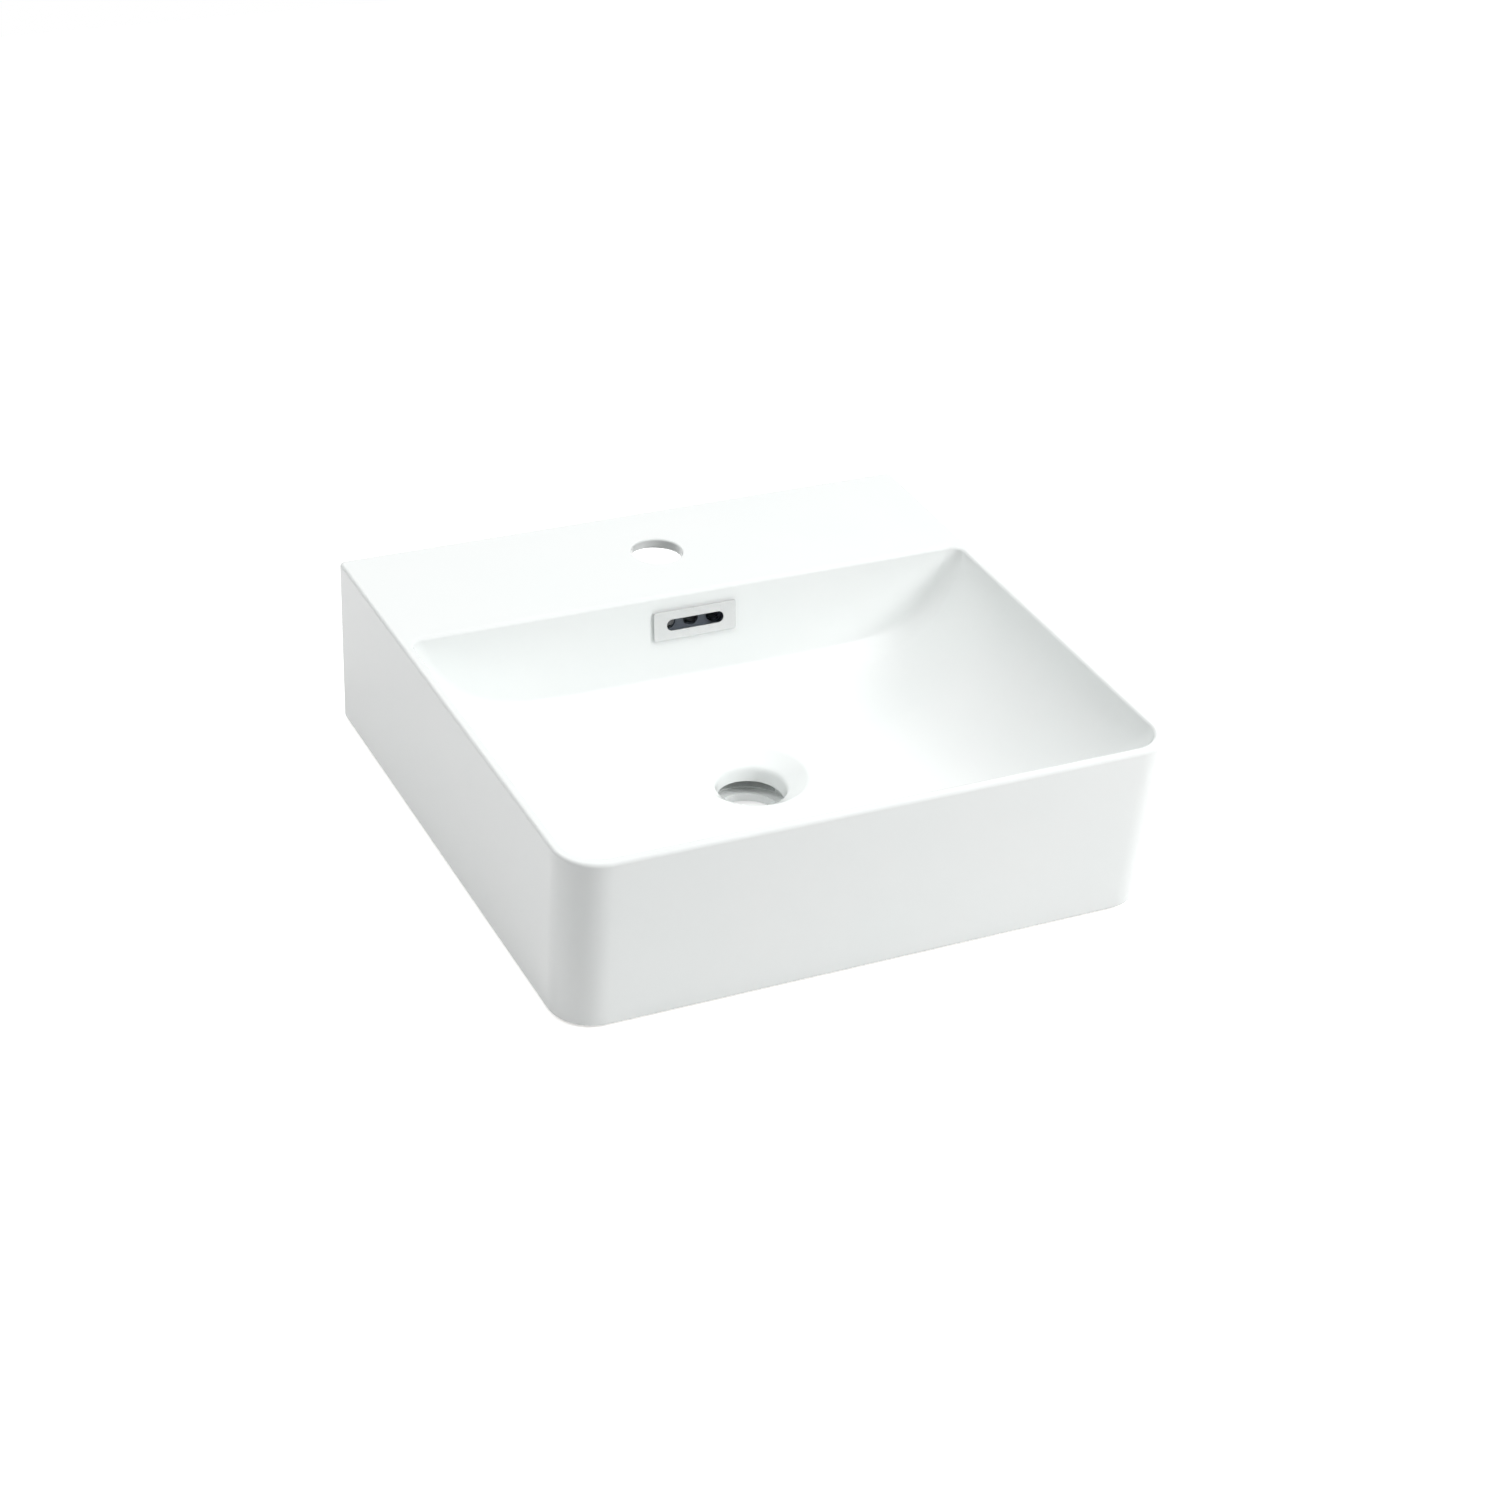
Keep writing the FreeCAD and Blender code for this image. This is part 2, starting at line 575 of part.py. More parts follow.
def soften_edges(body):
    """Glaze-rounded edges: rim inside and out, foot and tap hole."""
    rim = size("Sizes.height")
    half_width, half_depth = size("Sizes.width / 2"), size("Sizes.depth / 2")
    foot_side = half_width - size("Sizes.side_draft")
    foot_front = half_depth - size("Sizes.front_draft")
    mouth = size(BOWL_SIDE), size(BOWL_FRONT), size(BOWL_REAR)

    def on_mouth(edge):
        return lies_level(edge, rim) and all_within(edge, *mouth)

    def on_rim(edge):
        return lies_level(edge, rim) and any_on_border(edge, half_width, half_depth, half_depth)

    def on_foot(edge):
        return lies_level(edge, 0) and any_on_border(edge, foot_side, foot_front, half_depth)

    def on_tap_hole(edge):
        return is_ring(edge, size("Sizes.tap_radius"), rim)

    round_edges(body, "MouthEdge", "Sizes.mouth_edge", on_mouth)
    round_edges(body, "RimEdge", "Sizes.rim_edge", on_rim)
    round_edges(body, "FootEdge", "Sizes.foot_edge", on_foot)
    bevel_edges(body, "TapHoleEdge", "Sizes.tap_edge", on_tap_hole)


def cast_basin():
    """The one-piece ceramic casting."""
    body = new_body("basin_body")
    add_apron(body)
    loft(body, "Additive", "Shell", shell_section, SHELL_STEPS)
    add_waste_boss(body)
    path = duct_path(body)
    add_duct(body, path)
    loft(body, "Subtractive", "Bowl", bowl_section, BOWL_STEPS)
    cut_waste(body)
    cut_overflow(body, path)
    cut_tap_hole(body)
    cut_fixings(body)
    cut_access(body)
    soften_edges(body)
    return body


# The overflow trim, each piece in its own frame: origin on the bowl's rear wall in the middle
# of the opening, x to the right, y up along the wall, z out of the wall into the bowl

FLANGE_LENGTH = "(Sizes.opening_length + 2 * Sizes.seal_margin)"
FLANGE_HEIGHT = "(Sizes.opening_height + 2 * Sizes.seal_margin)"
FLANGE_FACE = "(Sizes.seal_thickness + Sizes.flange_thickness)"
CARRIER_LENGTH = "(Sizes.opening_length - 2 * Sizes.trim_clearance)"
CARRIER_HEIGHT = "(Sizes.opening_height - 2 * Sizes.trim_clearance)"


def seat_on_wall(body):
    """Place a trim piece on the leaning rear wall of the bowl."""
    body.Placement = FreeCAD.Placement(FreeCAD.Vector(0, 1, 1), FreeCAD.Rotation(CROSSWISE, 1))
    body.setExpression("Placement.Base.y", WALL_FACE)
    body.setExpression("Placement.Base.z", OVERFLOW_LEVEL)
    body.setExpression("Placement.Rotation.Angle", "90 deg - atan(Sizes.rear_slope)")
    return body


def cut_seal():
    """Thin flat seal between the glazed wall and the carrier's flange."""
    body = new_body("overflow_seal")
    outline = obround(new_sketch(body, "SealOutline", "XY_Plane"), FLANGE_LENGTH, FLANGE_HEIGHT)
    extrude(body, "Pad", "SealDisc", outline, "Sizes.seal_thickness")
    hole = obround(new_sketch(body, "SealHole", "XY_Plane", "Sizes.seal_thickness"),
                   "Sizes.opening_length", "Sizes.opening_height")
    extrude(body, "Pocket", "SealOpening", hole, "2 * Sizes.seal_thickness")
    return seat_on_wall(body)


def mould_carrier():
    """Push-in sleeve with a flange in front, a pierced plate across it and a barb at each end."""
    body = new_body("overflow_carrier")
    cup = obround(new_sketch(body, "CupOutline", "XY_Plane", "-Sizes.carrier_depth"),
                  CARRIER_LENGTH, CARRIER_HEIGHT)
    extrude(body, "Pad", "Cup", cup, f"Sizes.carrier_depth + {FLANGE_FACE}")
    flange = obround(new_sketch(body, "FlangeOutline", "XY_Plane", "Sizes.seal_thickness"),
                     FLANGE_LENGTH, FLANGE_HEIGHT)
    extrude(body, "Pad", "Flange", flange, "Sizes.flange_thickness")
    for name, level, length in (
            ("Front", FLANGE_FACE, f"{FLANGE_FACE} + Sizes.plate_depth - Sizes.plate_thickness"),
            ("Rear", "-Sizes.plate_depth", "Sizes.carrier_depth")):
        hollow = obround(new_sketch(body, f"{name}Outline", "XY_Plane", level),
                         f"{CARRIER_LENGTH} - 2 * Sizes.carrier_wall",
                         f"{CARRIER_HEIGHT} - 2 * Sizes.carrier_wall")
        extrude(body, "Pocket", f"{name}Hollow", hollow, length)
    holes = new_sketch(body, "HoleCircles", "XY_Plane")
    circles(holes, (("-Sizes.plate_pitch", "0"), ("0", "0"), ("Sizes.plate_pitch", "0")),
            "Sizes.plate_hole")
    extrude(body, "Pocket", "WaterHoles", holes, "Sizes.carrier_depth")
    catch = "-(Sizes.bowl_wall + Sizes.trim_clearance)"
    for name, sign in (("LeftBarb", "-"), ("RightBarb", "")):
        rooted = f"{sign}({CARRIER_LENGTH} / 2 - Sizes.carrier_wall / 2)"
        tip = f"{sign}({CARRIER_LENGTH} / 2 + Sizes.barb_reach)"
        sketch = closed_chain(new_sketch(body, f"{name}Section", "XZ_Plane"),
                              ((rooted, catch), (tip, catch), (rooted, "-Sizes.carrier_depth")))
        barb = extrude(body, "Pad", name, sketch, "Sizes.barb_height")
        barb.Midplane = True
    return seat_on_wall(body)


def make_cover():
    """Chromed cover plate with a long slot, hollow behind for the carrier's flange."""
    body = new_body("overflow_cover")
    back = "Sizes.cover_gap"
    sketch = new_sketch(body, "CoverOutline", "XY_Plane", back)
    half_height = "Sizes.cover_height / 2"
    rounded_outline(sketch, "Sizes.cover_length / 2", f"-{half_height}", half_height,
                    "Sizes.cover_corner", "Sizes.cover_corner")
    extrude(body, "Pad", "Plate", sketch, "Sizes.cover_thickness")
    face = size(f"{back} + Sizes.cover_thickness")
    bevel_edges(body, "FaceBevel", "Sizes.cover_bevel", lambda edge: lies_level(edge, face))
    recess = obround(new_sketch(body, "RecessOutline", "XY_Plane", FLANGE_FACE),
                     f"{FLANGE_LENGTH} + 2 * Sizes.trim_clearance",
                     f"{FLANGE_HEIGHT} + 2 * Sizes.trim_clearance")
    extrude(body, "Pocket", "Recess", recess, "Sizes.cover_thickness")
    slot = obround(new_sketch(body, "SlotOutline", "XY_Plane", f"{back} + Sizes.cover_thickness"),
                   "Sizes.slot_length", "Sizes.slot_height")
    extrude(body, "Pocket", "Slot", slot, "2 * Sizes.cover_thickness")
    return seat_on_wall(body)


def check_document(bodies):
    """Stop where a feature failed, or a piece is empty or unsound."""
    doc.recompute()
    for item in doc.Objects:
        if any(flag in item.State for flag in ("Invalid", "Error")):
            raise RuntimeError(f"{item.Name}: {item.getStatusString()}")
    for body in bodies:
        if body.Shape.isNull() or not body.Shape.isValid() or len(body.Shape.Solids) != 1:
            raise RuntimeError(f"{body.Label}: not one sound solid")


def main():
    """Build every piece, check it and write it to its own file."""
    fill_sheet()
    bodies = [cast_basin(), make_cover(), mould_carrier(), cut_seal()]
    check_document(bodies)
    os.makedirs("parts", exist_ok=True)
    for body in bodies:
        body.Shape.exportStep(f"parts/{body.Label}.step")
        print(f"{body.Label}: {body.Shape.Volume / 1000:.2f} cm3, {len(body.Shape.Faces)} faces")


main()
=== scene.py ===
"""Looks of a slim-rimmed ceramic washbasin with a tap deck and a chromed overflow trim.

The casting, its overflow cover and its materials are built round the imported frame, which gives
the overall size and the place of every hole. Lengths inside the classes are in millimetres, in
the frame's axes: +X to the right of someone at the basin, +Y towards the wall, +Z up.
"""

import json
import logging
import math
from collections.abc import Callable, Sequence
from dataclasses import dataclass, replace
from enum import Enum

import bmesh
import bpy
from mathutils import Matrix, Vector


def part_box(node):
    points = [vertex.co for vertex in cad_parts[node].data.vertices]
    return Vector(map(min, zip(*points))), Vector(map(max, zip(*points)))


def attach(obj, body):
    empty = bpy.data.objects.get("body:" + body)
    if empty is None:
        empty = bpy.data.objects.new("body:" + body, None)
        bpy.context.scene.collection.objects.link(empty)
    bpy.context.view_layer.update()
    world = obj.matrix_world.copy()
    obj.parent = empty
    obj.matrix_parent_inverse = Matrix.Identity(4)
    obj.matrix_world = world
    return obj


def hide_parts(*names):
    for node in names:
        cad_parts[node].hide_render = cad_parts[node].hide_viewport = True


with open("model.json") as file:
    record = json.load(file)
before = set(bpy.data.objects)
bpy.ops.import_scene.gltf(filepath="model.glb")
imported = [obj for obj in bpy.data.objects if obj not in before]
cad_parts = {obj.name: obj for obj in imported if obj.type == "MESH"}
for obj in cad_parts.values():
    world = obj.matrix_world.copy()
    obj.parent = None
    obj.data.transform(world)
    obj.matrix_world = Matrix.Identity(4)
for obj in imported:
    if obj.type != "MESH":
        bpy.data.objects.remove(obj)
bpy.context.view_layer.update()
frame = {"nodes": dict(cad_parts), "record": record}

MM = 0.001  # metres in a millimetre
FIT = 0.004  # millimetres that keep rounded edges inside the frame's box
BODY = "root"  # nothing moves, so every piece rides on the one body
CORNER_SEGMENTS = 12  # segments of a quarter-round corner
ACROSS_CUTS = 30  # cuts of a loop's front and rear runs
ALONG_CUTS = 20  # cuts of its side runs
BEND_STEPS = 8  # steps of the overflow duct's bend
FLARE_STEPS = 6  # steps of the rounding of the bowl's mouth
ROUND_STEPS = 5  # steps of any other rounded edge
FILLET_ROUNDS = 12  # rounds in which the rear fillet's reach settles
LOOP_SEGMENTS = 4 * CORNER_SEGMENTS + 2 * (ACROSS_CUTS + 1) + 2 * (ALONG_CUTS + 1)
CREASE_ANGLE = math.radians(38)  # edges sharper than this keep a hard line
SAME = 1e-4  # millimetres within which two points count as one
WELD = 2e-6  # metres within which a Boolean's points are welded
PAST = 5.0  # millimetres that a cutting body goes past a face
LIFT = 0.02  # millimetres that an edge's cutter stands above the rim
LEAST_CORNER = 0.5  # millimetres, the smallest corner radius of a loop
BEND_REACH = 1.02  # reach of a corner's points, in corner radii

log = logging.getLogger("washbasin")

Point = tuple[float, float]


class Cut(Enum):
    """What a tool body does to the casting."""

    ADD = "UNION"
    REMOVE = "DIFFERENCE"


# Small tools shared by every piece


def linear(hex_colour: str) -> tuple[float, float, float, float]:
    """Turn an sRGB hex colour into the linear values that shaders take.

    Args:
        hex_colour: six hex digits after a hash sign.

    Returns:
        Linear red, green, blue and an alpha of one.
    """
    shares = [int(hex_colour[place:place + 2], 16) / 255 for place in (1, 3, 5)]
    return (*(share / 12.92 if share <= 0.04045 else ((share + 0.055) / 1.055) ** 2.4
              for share in shares), 1.0)


def add_node(tree: bpy.types.NodeTree, kind: str, inputs: dict | None = None,
             **settings: object) -> bpy.types.Node:
    """Add a shader node with its settings and its inputs.

    Args:
        tree: the node tree that gets it.
        kind: the node's type name.
        inputs: input name or number to a value, or to the socket that feeds it.
        settings: the node's own properties.

    Returns:
        The new node.
    """
    node = tree.nodes.new(kind)
    for name, value in settings.items():
        setattr(node, name, value)
    for name, value in (inputs or {}).items():
        if isinstance(value, bpy.types.NodeSocket):
            tree.links.new(value, node.inputs[name])
        else:
            node.inputs[name].default_value = value
    return node


def add_noise(tree: bpy.types.NodeTree, place: bpy.types.NodeSocket, size: float,
              detail: float) -> bpy.types.NodeSocket:
    """Add a noise texture.

    Args:
        tree: the node tree that gets it.
        place: the socket of the place that it varies with.
        size: size of its lumps in millimetres.
        detail: how many finer layers it has.

    Returns:
        The socket of its grey value.
    """
    return add_node(tree, "ShaderNodeTexNoise",
                    {"Vector": place, "Scale": 1 / (size * MM), "Detail": detail}).outputs["Fac"]


def add_math(tree: bpy.types.NodeTree, operation: str, *values: object) -> bpy.types.NodeSocket:
    """Add a calculation.

    Args:
        tree: the node tree that gets it.
        operation: what is done with the values.
        values: numbers, or the sockets that feed them.

    Returns:
        The socket of the result.
    """
    return add_node(tree, "ShaderNodeMath", dict(enumerate(values)), operation=operation).outputs[0]


def new_material(name: str) -> tuple[bpy.types.Material, bpy.types.NodeTree, bpy.types.Node]:
    """Make an empty node material.

    Args:
        name: the finish's real name.

    Returns:
        The material, its tree and its output node.
    """
    material = bpy.data.materials.new(name)
    material.use_nodes = True
    material.node_tree.nodes.clear()
    output = add_node(material.node_tree, "ShaderNodeOutputMaterial")
    return material, material.node_tree, output


def as_piece(mesh: bmesh.types.BMesh, name: str, place: Matrix | None = None) -> bpy.types.Object:
    """Turn a closed mesh in millimetres into an object at the origin.

    Args:
        mesh: the mesh, which is freed.
        name: the object's name.
        place: turn and move of the finished mesh, in millimetres.

    Returns:
        The linked object.
    """
    if place is not None:
        bmesh.ops.transform(mesh, matrix=place, verts=mesh.verts)
    bmesh.ops.scale(mesh, vec=(MM, MM, MM), verts=mesh.verts)
    bmesh.ops.recalc_face_normals(mesh, faces=mesh.faces)
    data = bpy.data.meshes.new(name)
    mesh.to_mesh(data)
    mesh.free()
    piece = bpy.data.objects.new(name, data)
    bpy.context.scene.collection.objects.link(piece)
    return piece


def quarter(across: float, up: float, radius: float, start: float) -> list[Point]:
    """Points on a quarter circle.

    Args:
        across: its centre across.
        up: its centre up.
        radius: its radius.
        start: the first point's angle in degrees; it turns a quarter anticlockwise from there.

    Returns:
        The points, first to last.
    """
    turns = [math.radians(start + 90 * step / ROUND_STEPS) for step in range(ROUND_STEPS + 1)]
    return [(across + radius * math.cos(turn), up + radius * math.sin(turn)) for turn in turns]


@dataclass(frozen=True)
class Outline:
    """Level rounded rectangle, alike left and right.

    Attributes:
        level: its height.
        side: half its width.
        front: place of its front run along y.
        rear: place of its rear run along y.
        near: corner radius at the front.
        far: corner radius at the rear.
        stretch: length over depth of the rear corners, which are quarter ellipses.
    """

    level: float
    side: float
    front: float
    rear: float
    near: float
    far: float
    stretch: float = 1.0

    def inset(self, amount: float) -> "Outline":
        """Outline moved in by an amount on every side, with its corners to match."""
        return replace(self, side=self.side - amount, front=self.front + amount,
                       rear=self.rear - amount, near=self.near - amount, far=self.far - amount)

    def at(self, level: float) -> "Outline":
        """Same outline at another height."""
        return replace(self, level=level)


@dataclass(frozen=True)
class Ring:
    """Level circle round an upright axis.

    Attributes:
        level: its height.
        radius: its radius.
        forward: how far its axis stands before the origin.
    """

    level: float
    radius: float
    forward: float


def draw_outline(mesh: bmesh.types.BMesh, outline: Outline) -> None:
    """Draw a rounded rectangle with corners bevelled and straight runs divided.

    Args:
        mesh: the mesh that gets its edges.
        outline: the rectangle.
    """
    known = set(mesh.edges)
    places = ((-outline.side, outline.front), (outline.side, outline.front),
              (outline.side, outline.rear), (-outline.side, outline.rear))
    corners = [mesh.verts.new((across, along, outline.level)) for across, along in places]
    mesh.faces.new(corners)
    for pair, radius in ((corners[:2], outline.near), (corners[2:], outline.far)):
        bmesh.ops.bevel(mesh, geom=pair, offset=radius, offset_type="OFFSET", material=-1,
                        segments=CORNER_SEGMENTS, profile=0.5, affect="VERTICES")
    bmesh.ops.delete(mesh, geom=mesh.faces[:], context="FACES_ONLY")
    bend = BEND_REACH * outline.far
    for sign in (-1, 1):
        corner = [vert for vert in mesh.verts if abs(vert.co.z - outline.level) < SAME
                  and sign * vert.co.x > outline.side - bend and vert.co.y > outline.rear - bend]
        bmesh.ops.scale(mesh, vec=(outline.stretch, 1, 1), verts=corner,
                        space=Matrix.Translation((-sign * outline.side, 0, 0)))
    widest_corner = max(outline.near, outline.far * outline.stretch)
    shortest_run = 2 * widest_corner * math.pi / 2 / CORNER_SEGMENTS
    runs = [edge for edge in mesh.edges if edge not in known and edge.calc_length() > shortest_run]
    across = [edge for edge in runs if abs(edge.verts[0].co.y - edge.verts[1].co.y) < SAME]
    along = [edge for edge in runs if edge not in across]
    bmesh.ops.subdivide_edges(mesh, edges=across, cuts=ACROSS_CUTS)
    bmesh.ops.subdivide_edges(mesh, edges=along, cuts=ALONG_CUTS)


def loft(name: str, loops: Sequence[Outline | Ring]) -> bpy.types.Object:
    """Closed solid through level loops.

    Args:
        name: the object's name.
        loops: the loops in order, from one end to the other.

    Returns:
        The solid.
    """
    mesh = bmesh.new()
    drawn: list[list[bmesh.types.BMEdge]] = []
    for loop in loops:
        known = set(mesh.edges)
        if isinstance(loop, Ring):
            place = Matrix.Translation((0, -loop.forward, loop.level))
            bmesh.ops.create_circle(mesh, segments=LOOP_SEGMENTS, radius=loop.radius, matrix=place)
        else:
            draw_outline(mesh, loop)
        drawn.append([edge for edge in mesh.edges if edge not in known])
    for lower, upper in zip(drawn, drawn[1:]):
        bmesh.ops.bridge_loops(mesh, edges=lower + upper)
    for end in (drawn[0], drawn[-1]):
        bmesh.ops.edgeloop_fill(mesh, edges=end)
    return as_piece(mesh, name)


def turned(name: str, profile: Sequence[Point], place: Matrix, steps: int = 96) -> bpy.types.Object:
    """Closed solid of revolution.

    Args:
        name: the object's name.
        profile: (radius, height) points from the axis, round the outside and back to the axis.
        place: turn and move of the solid from its own upright axis, in millimetres.
        steps: segments round the axis.

    Returns:
        The solid.
    """
    mesh = bmesh.new()
    points = [mesh.verts.new((radius, 0, height)) for radius, height in profile]
    edges = [mesh.edges.new(pair) for pair in zip(points, points[1:])]
    bmesh.ops.spin(mesh, geom=points + edges, cent=(0, 0, 0), axis=(0, 0, 1), dvec=(0, 0, 0),
                   angle=math.tau, steps=steps, use_merge=True, use_duplicate=False)
    bmesh.ops.remove_doubles(mesh, verts=mesh.verts, dist=SAME)
    return as_piece(mesh, name, place)


def slot_prism(name: str, size: Point, ends: Point, place: Matrix,
               corner: float | None = None) -> bpy.types.Object:
    """Closed prism with a rounded rectangle or a round-ended slot for its section.

    Args:
        name: the object's name.
        size: the section's length along x and height along y.
        ends: where the prism begins and ends along z.
        place: turn and move of the prism, in millimetres.
        corner: corner radius of the section, or none for round ends.

    Returns:
        The prism.
    """
    mesh = bmesh.new()
    (length, height), (low, high) = size, ends
    short = 1e-3  # keeps a round end's two corners apart
    radius = height / 2 - short if corner is None else corner
    corners = [mesh.verts.new((across * length / 2, up * height / 2, low))
               for across, up in ((-1, -1), (1, -1), (1, 1), (-1, 1))]
    mesh.faces.new(corners)
    bmesh.ops.bevel(mesh, geom=corners, offset=radius, offset_type="OFFSET", material=-1,
                    segments=CORNER_SEGMENTS, profile=0.5, affect="VERTICES")
    solid = bmesh.ops.extrude_face_region(mesh, geom=mesh.faces[:], use_keep_orig=True)
    raised = [item for item in solid["geom"] if isinstance(item, bmesh.types.BMVert)]
    bmesh.ops.translate(mesh, vec=(0, 0, high - low), verts=raised)
    return as_piece(mesh, name, place)


def combine(piece: bpy.types.Object, tools: Sequence[tuple[bpy.types.Object, Cut]]) -> None:
    """Add or cut tool bodies in order, then drop them.

    Args:
        piece: the object that keeps the result as its mesh.
        tools: each tool with what it does.
    """
    for tool, cut in tools:
        modifier = piece.modifiers.new(tool.name, "BOOLEAN")
        modifier.object = tool
        modifier.operation = cut.value
        modifier.solver = "MANIFOLD"
        tool.hide_render = True
    graph = bpy.context.evaluated_depsgraph_get()
    result = bpy.data.meshes.new_from_object(piece.evaluated_get(graph))
    piece.modifiers.clear()
    mesh = bmesh.new()
    mesh.from_mesh(result)
    bmesh.ops.remove_doubles(mesh, verts=mesh.verts, dist=WELD)
    bmesh.ops.recalc_face_normals(mesh, faces=mesh.faces)
    mesh.to_mesh(result)
    mesh.free()
    piece.data = result
    for tool, _ in tools:
        bpy.data.objects.remove(tool)


def smooth(piece: bpy.types.Object) -> None:
    """Shade a piece smooth, with hard lines at its creases and flat faces kept flat.

    Args:
        piece: the finished piece.
    """
    piece.data.shade_smooth()
    piece.data.set_sharp_from_angle(angle=CREASE_ANGLE)
    weighted = piece.modifiers.new("flat faces stay flat", "WEIGHTED_NORMAL")
    weighted.mode = "FACE_AREA"
    weighted.weight = 50
    weighted.keep_sharp = True


def dress(piece: bpy.types.Object, material: bpy.types.Material) -> None:
    """Give a piece one material all over.

    Args:
        piece: the piece, or a node of the frame.
        material: its finish.
    """
    piece.data.materials.clear()
    piece.data.materials.append(material)


# Finishes


@dataclass(frozen=True)
class GlazedChina:
    """Vitreous china under a white gloss glaze, dipped, wiped off the foot and fired.

    The glaze is a glassy coat on a near-white body, so it reads as clean white with sharp, weak
    reflections that waver a little where the glaze ran. The ground foot is bare, matt and creamy.

    Attributes:
        glaze: colour of the glaze over the body.
        pooled: colour where the glaze lies thicker.
        clay: colour of the bare fired body.
        roughness: of the glaze.
        clay_roughness: of the bare body.
        pool: size of the patches where the glaze lies thicker.
        waver: size of the glaze's slow waves.
        waver_height: how high they stand.
        grit: size of the bare body's grains.
        grit_height: how high they stand.
        wipe: size of the waves of the line to which the foot is wiped.
        bare_height: how far the bare body shows above the foot.
    """

    glaze: str = "#F8FAF9"
    pooled: str = "#F5F9F8"
    clay: str = "#E9E4D8"
    roughness: float = 0.14
    clay_roughness: float = 0.75
    pool: float = 60.0
    waver: float = 45.0
    waver_height: float = 0.05
    grit: float = 0.8
    grit_height: float = 0.1
    wipe: float = 9.0
    bare_height: float = 0.9

    def material(self) -> bpy.types.Material:
        """Build the material.

        Returns:
            The material.
        """
        material, tree, output = new_material("Glazed vitreous china")
        place = add_node(tree, "ShaderNodeTexCoord").outputs["Object"]
        patches = add_noise(tree, place, self.pool, 2.0)
        tone = add_node(tree, "ShaderNodeMix",
                        {0: patches, 6: linear(self.glaze), 7: linear(self.pooled)}, data_type="RGBA")
        waves = add_noise(tree, place, self.waver, 1.0)
        ripple = add_node(tree, "ShaderNodeBump",
                          {"Height": waves, "Distance": self.waver_height * MM, "Strength": 0.4})
        glaze = add_node(tree, "ShaderNodeBsdfPrincipled",
                         {"Base Color": tone.outputs["Result"], "Roughness": self.roughness,
                          "IOR": 1.5, "Normal": ripple.outputs["Normal"]})
        grains = add_noise(tree, place, self.grit, 3.0)
        tooth = add_node(tree, "ShaderNodeBump",
                         {"Height": grains, "Distance": self.grit_height * MM})
        clay = add_node(tree, "ShaderNodeBsdfPrincipled",
                        {"Base Color": linear(self.clay), "Roughness": self.clay_roughness,
                         "IOR": 1.45, "Normal": tooth.outputs["Normal"]})
        height = add_node(tree, "ShaderNodeSeparateXYZ", {"Vector": place}).outputs["Z"]
        edge = add_noise(tree, place, self.wipe, 2.0)
        line = add_math(tree, "MULTIPLY_ADD", edge, self.bare_height * MM, self.bare_height * MM / 2)
        bare = add_math(tree, "LESS_THAN", height, line)
        both = add_node(tree, "ShaderNodeMixShader",
                        {0: bare, 1: glaze.outputs[0], 2: clay.outputs[0]})
        tree.links.new(both.outputs[0], output.inputs["Surface"])
        return material


@dataclass(frozen=True)
class ChromePlate:
    """Bright chrome plated on moulded plastic, which mirrors the room with a faint moulding ripple.

    Attributes:
        colour: tint of its reflections.
        roughness: of the plating.
        ripple: size of the moulding's ripple.
        ripple_height: how high it stands.
        haze: size of the patches where the polish is finer or coarser.
        haze_range: their least and most roughness, as shares of the plating's.
    """

    colour: str = "#E8E8E8"
    roughness: float = 0.16
    ripple: float = 7.0
    ripple_height: float = 0.02
    haze: float = 2.0
    haze_range: Point = (0.8, 1.2)

    def material(self) -> bpy.types.Material:
        """Build the material.

        Returns:
            The material.
        """
        material, tree, output = new_material("Bright chrome plate")
        place = add_node(tree, "ShaderNodeTexCoord").outputs["Object"]
        waves = add_noise(tree, place, self.ripple, 1.0)
        bump = add_node(tree, "ShaderNodeBump",
                        {"Height": waves, "Distance": self.ripple_height * MM, "Strength": 0.5})
        polish = add_noise(tree, place, self.haze, 3.0)
        finest, coarsest = self.haze_range
        haze = add_node(tree, "ShaderNodeMapRange",
                        {"Value": polish, "To Min": finest * self.roughness,
                         "To Max": coarsest * self.roughness})
        shader = add_node(tree, "ShaderNodeBsdfPrincipled",
                          {"Base Color": linear(self.colour), "Metallic": 1.0,
                           "Roughness": haze.outputs["Result"], "Normal": bump.outputs["Normal"]})
        tree.links.new(shader.outputs[0], output.inputs["Surface"])
        return material


@dataclass(frozen=True)
class Moulding:
    """Moulded part with a fine even grain, such as slate-grey ABS or black EPDM rubber.

    Attributes:
        name: the material's common name.
        colour: its colour.
        worn: its colour where the grain stands up.
        roughness: its roughness.
        grain: size of its grain.
        relief: depth of its grain.
    """

    name: str
    colour: str
    worn: str
    roughness: float
    grain: float
    relief: float

    def material(self) -> bpy.types.Material:
        """Build the material.

        Returns:
            The material.
        """
        material, tree, output = new_material(self.name)
        place = add_node(tree, "ShaderNodeTexCoord").outputs["Object"]
        grain = add_noise(tree, place, self.grain, 4.0)
        tone = add_node(tree, "ShaderNodeMix",
                        {0: grain, 6: linear(self.colour), 7: linear(self.worn)}, data_type="RGBA")
        bump = add_node(tree, "ShaderNodeBump", {"Height": grain, "Distance": self.relief * MM})
        shader = add_node(tree, "ShaderNodeBsdfPrincipled",
                          {"Base Color": tone.outputs["Result"], "Roughness": self.roughness,
                           "IOR": 1.5, "Normal": bump.outputs["Normal"]})
        tree.links.new(shader.outputs[0], output.inputs["Surface"])
        return material


SLATE_ABS = Moulding("Moulded ABS, slate grey", "#7C838D", "#858C95", 0.45, 0.5, 0.02)
BLACK_EPDM = Moulding("Black EPDM rubber", "#1B1B1C", "#262627", 0.8, 0.4, 0.03)


# The casting


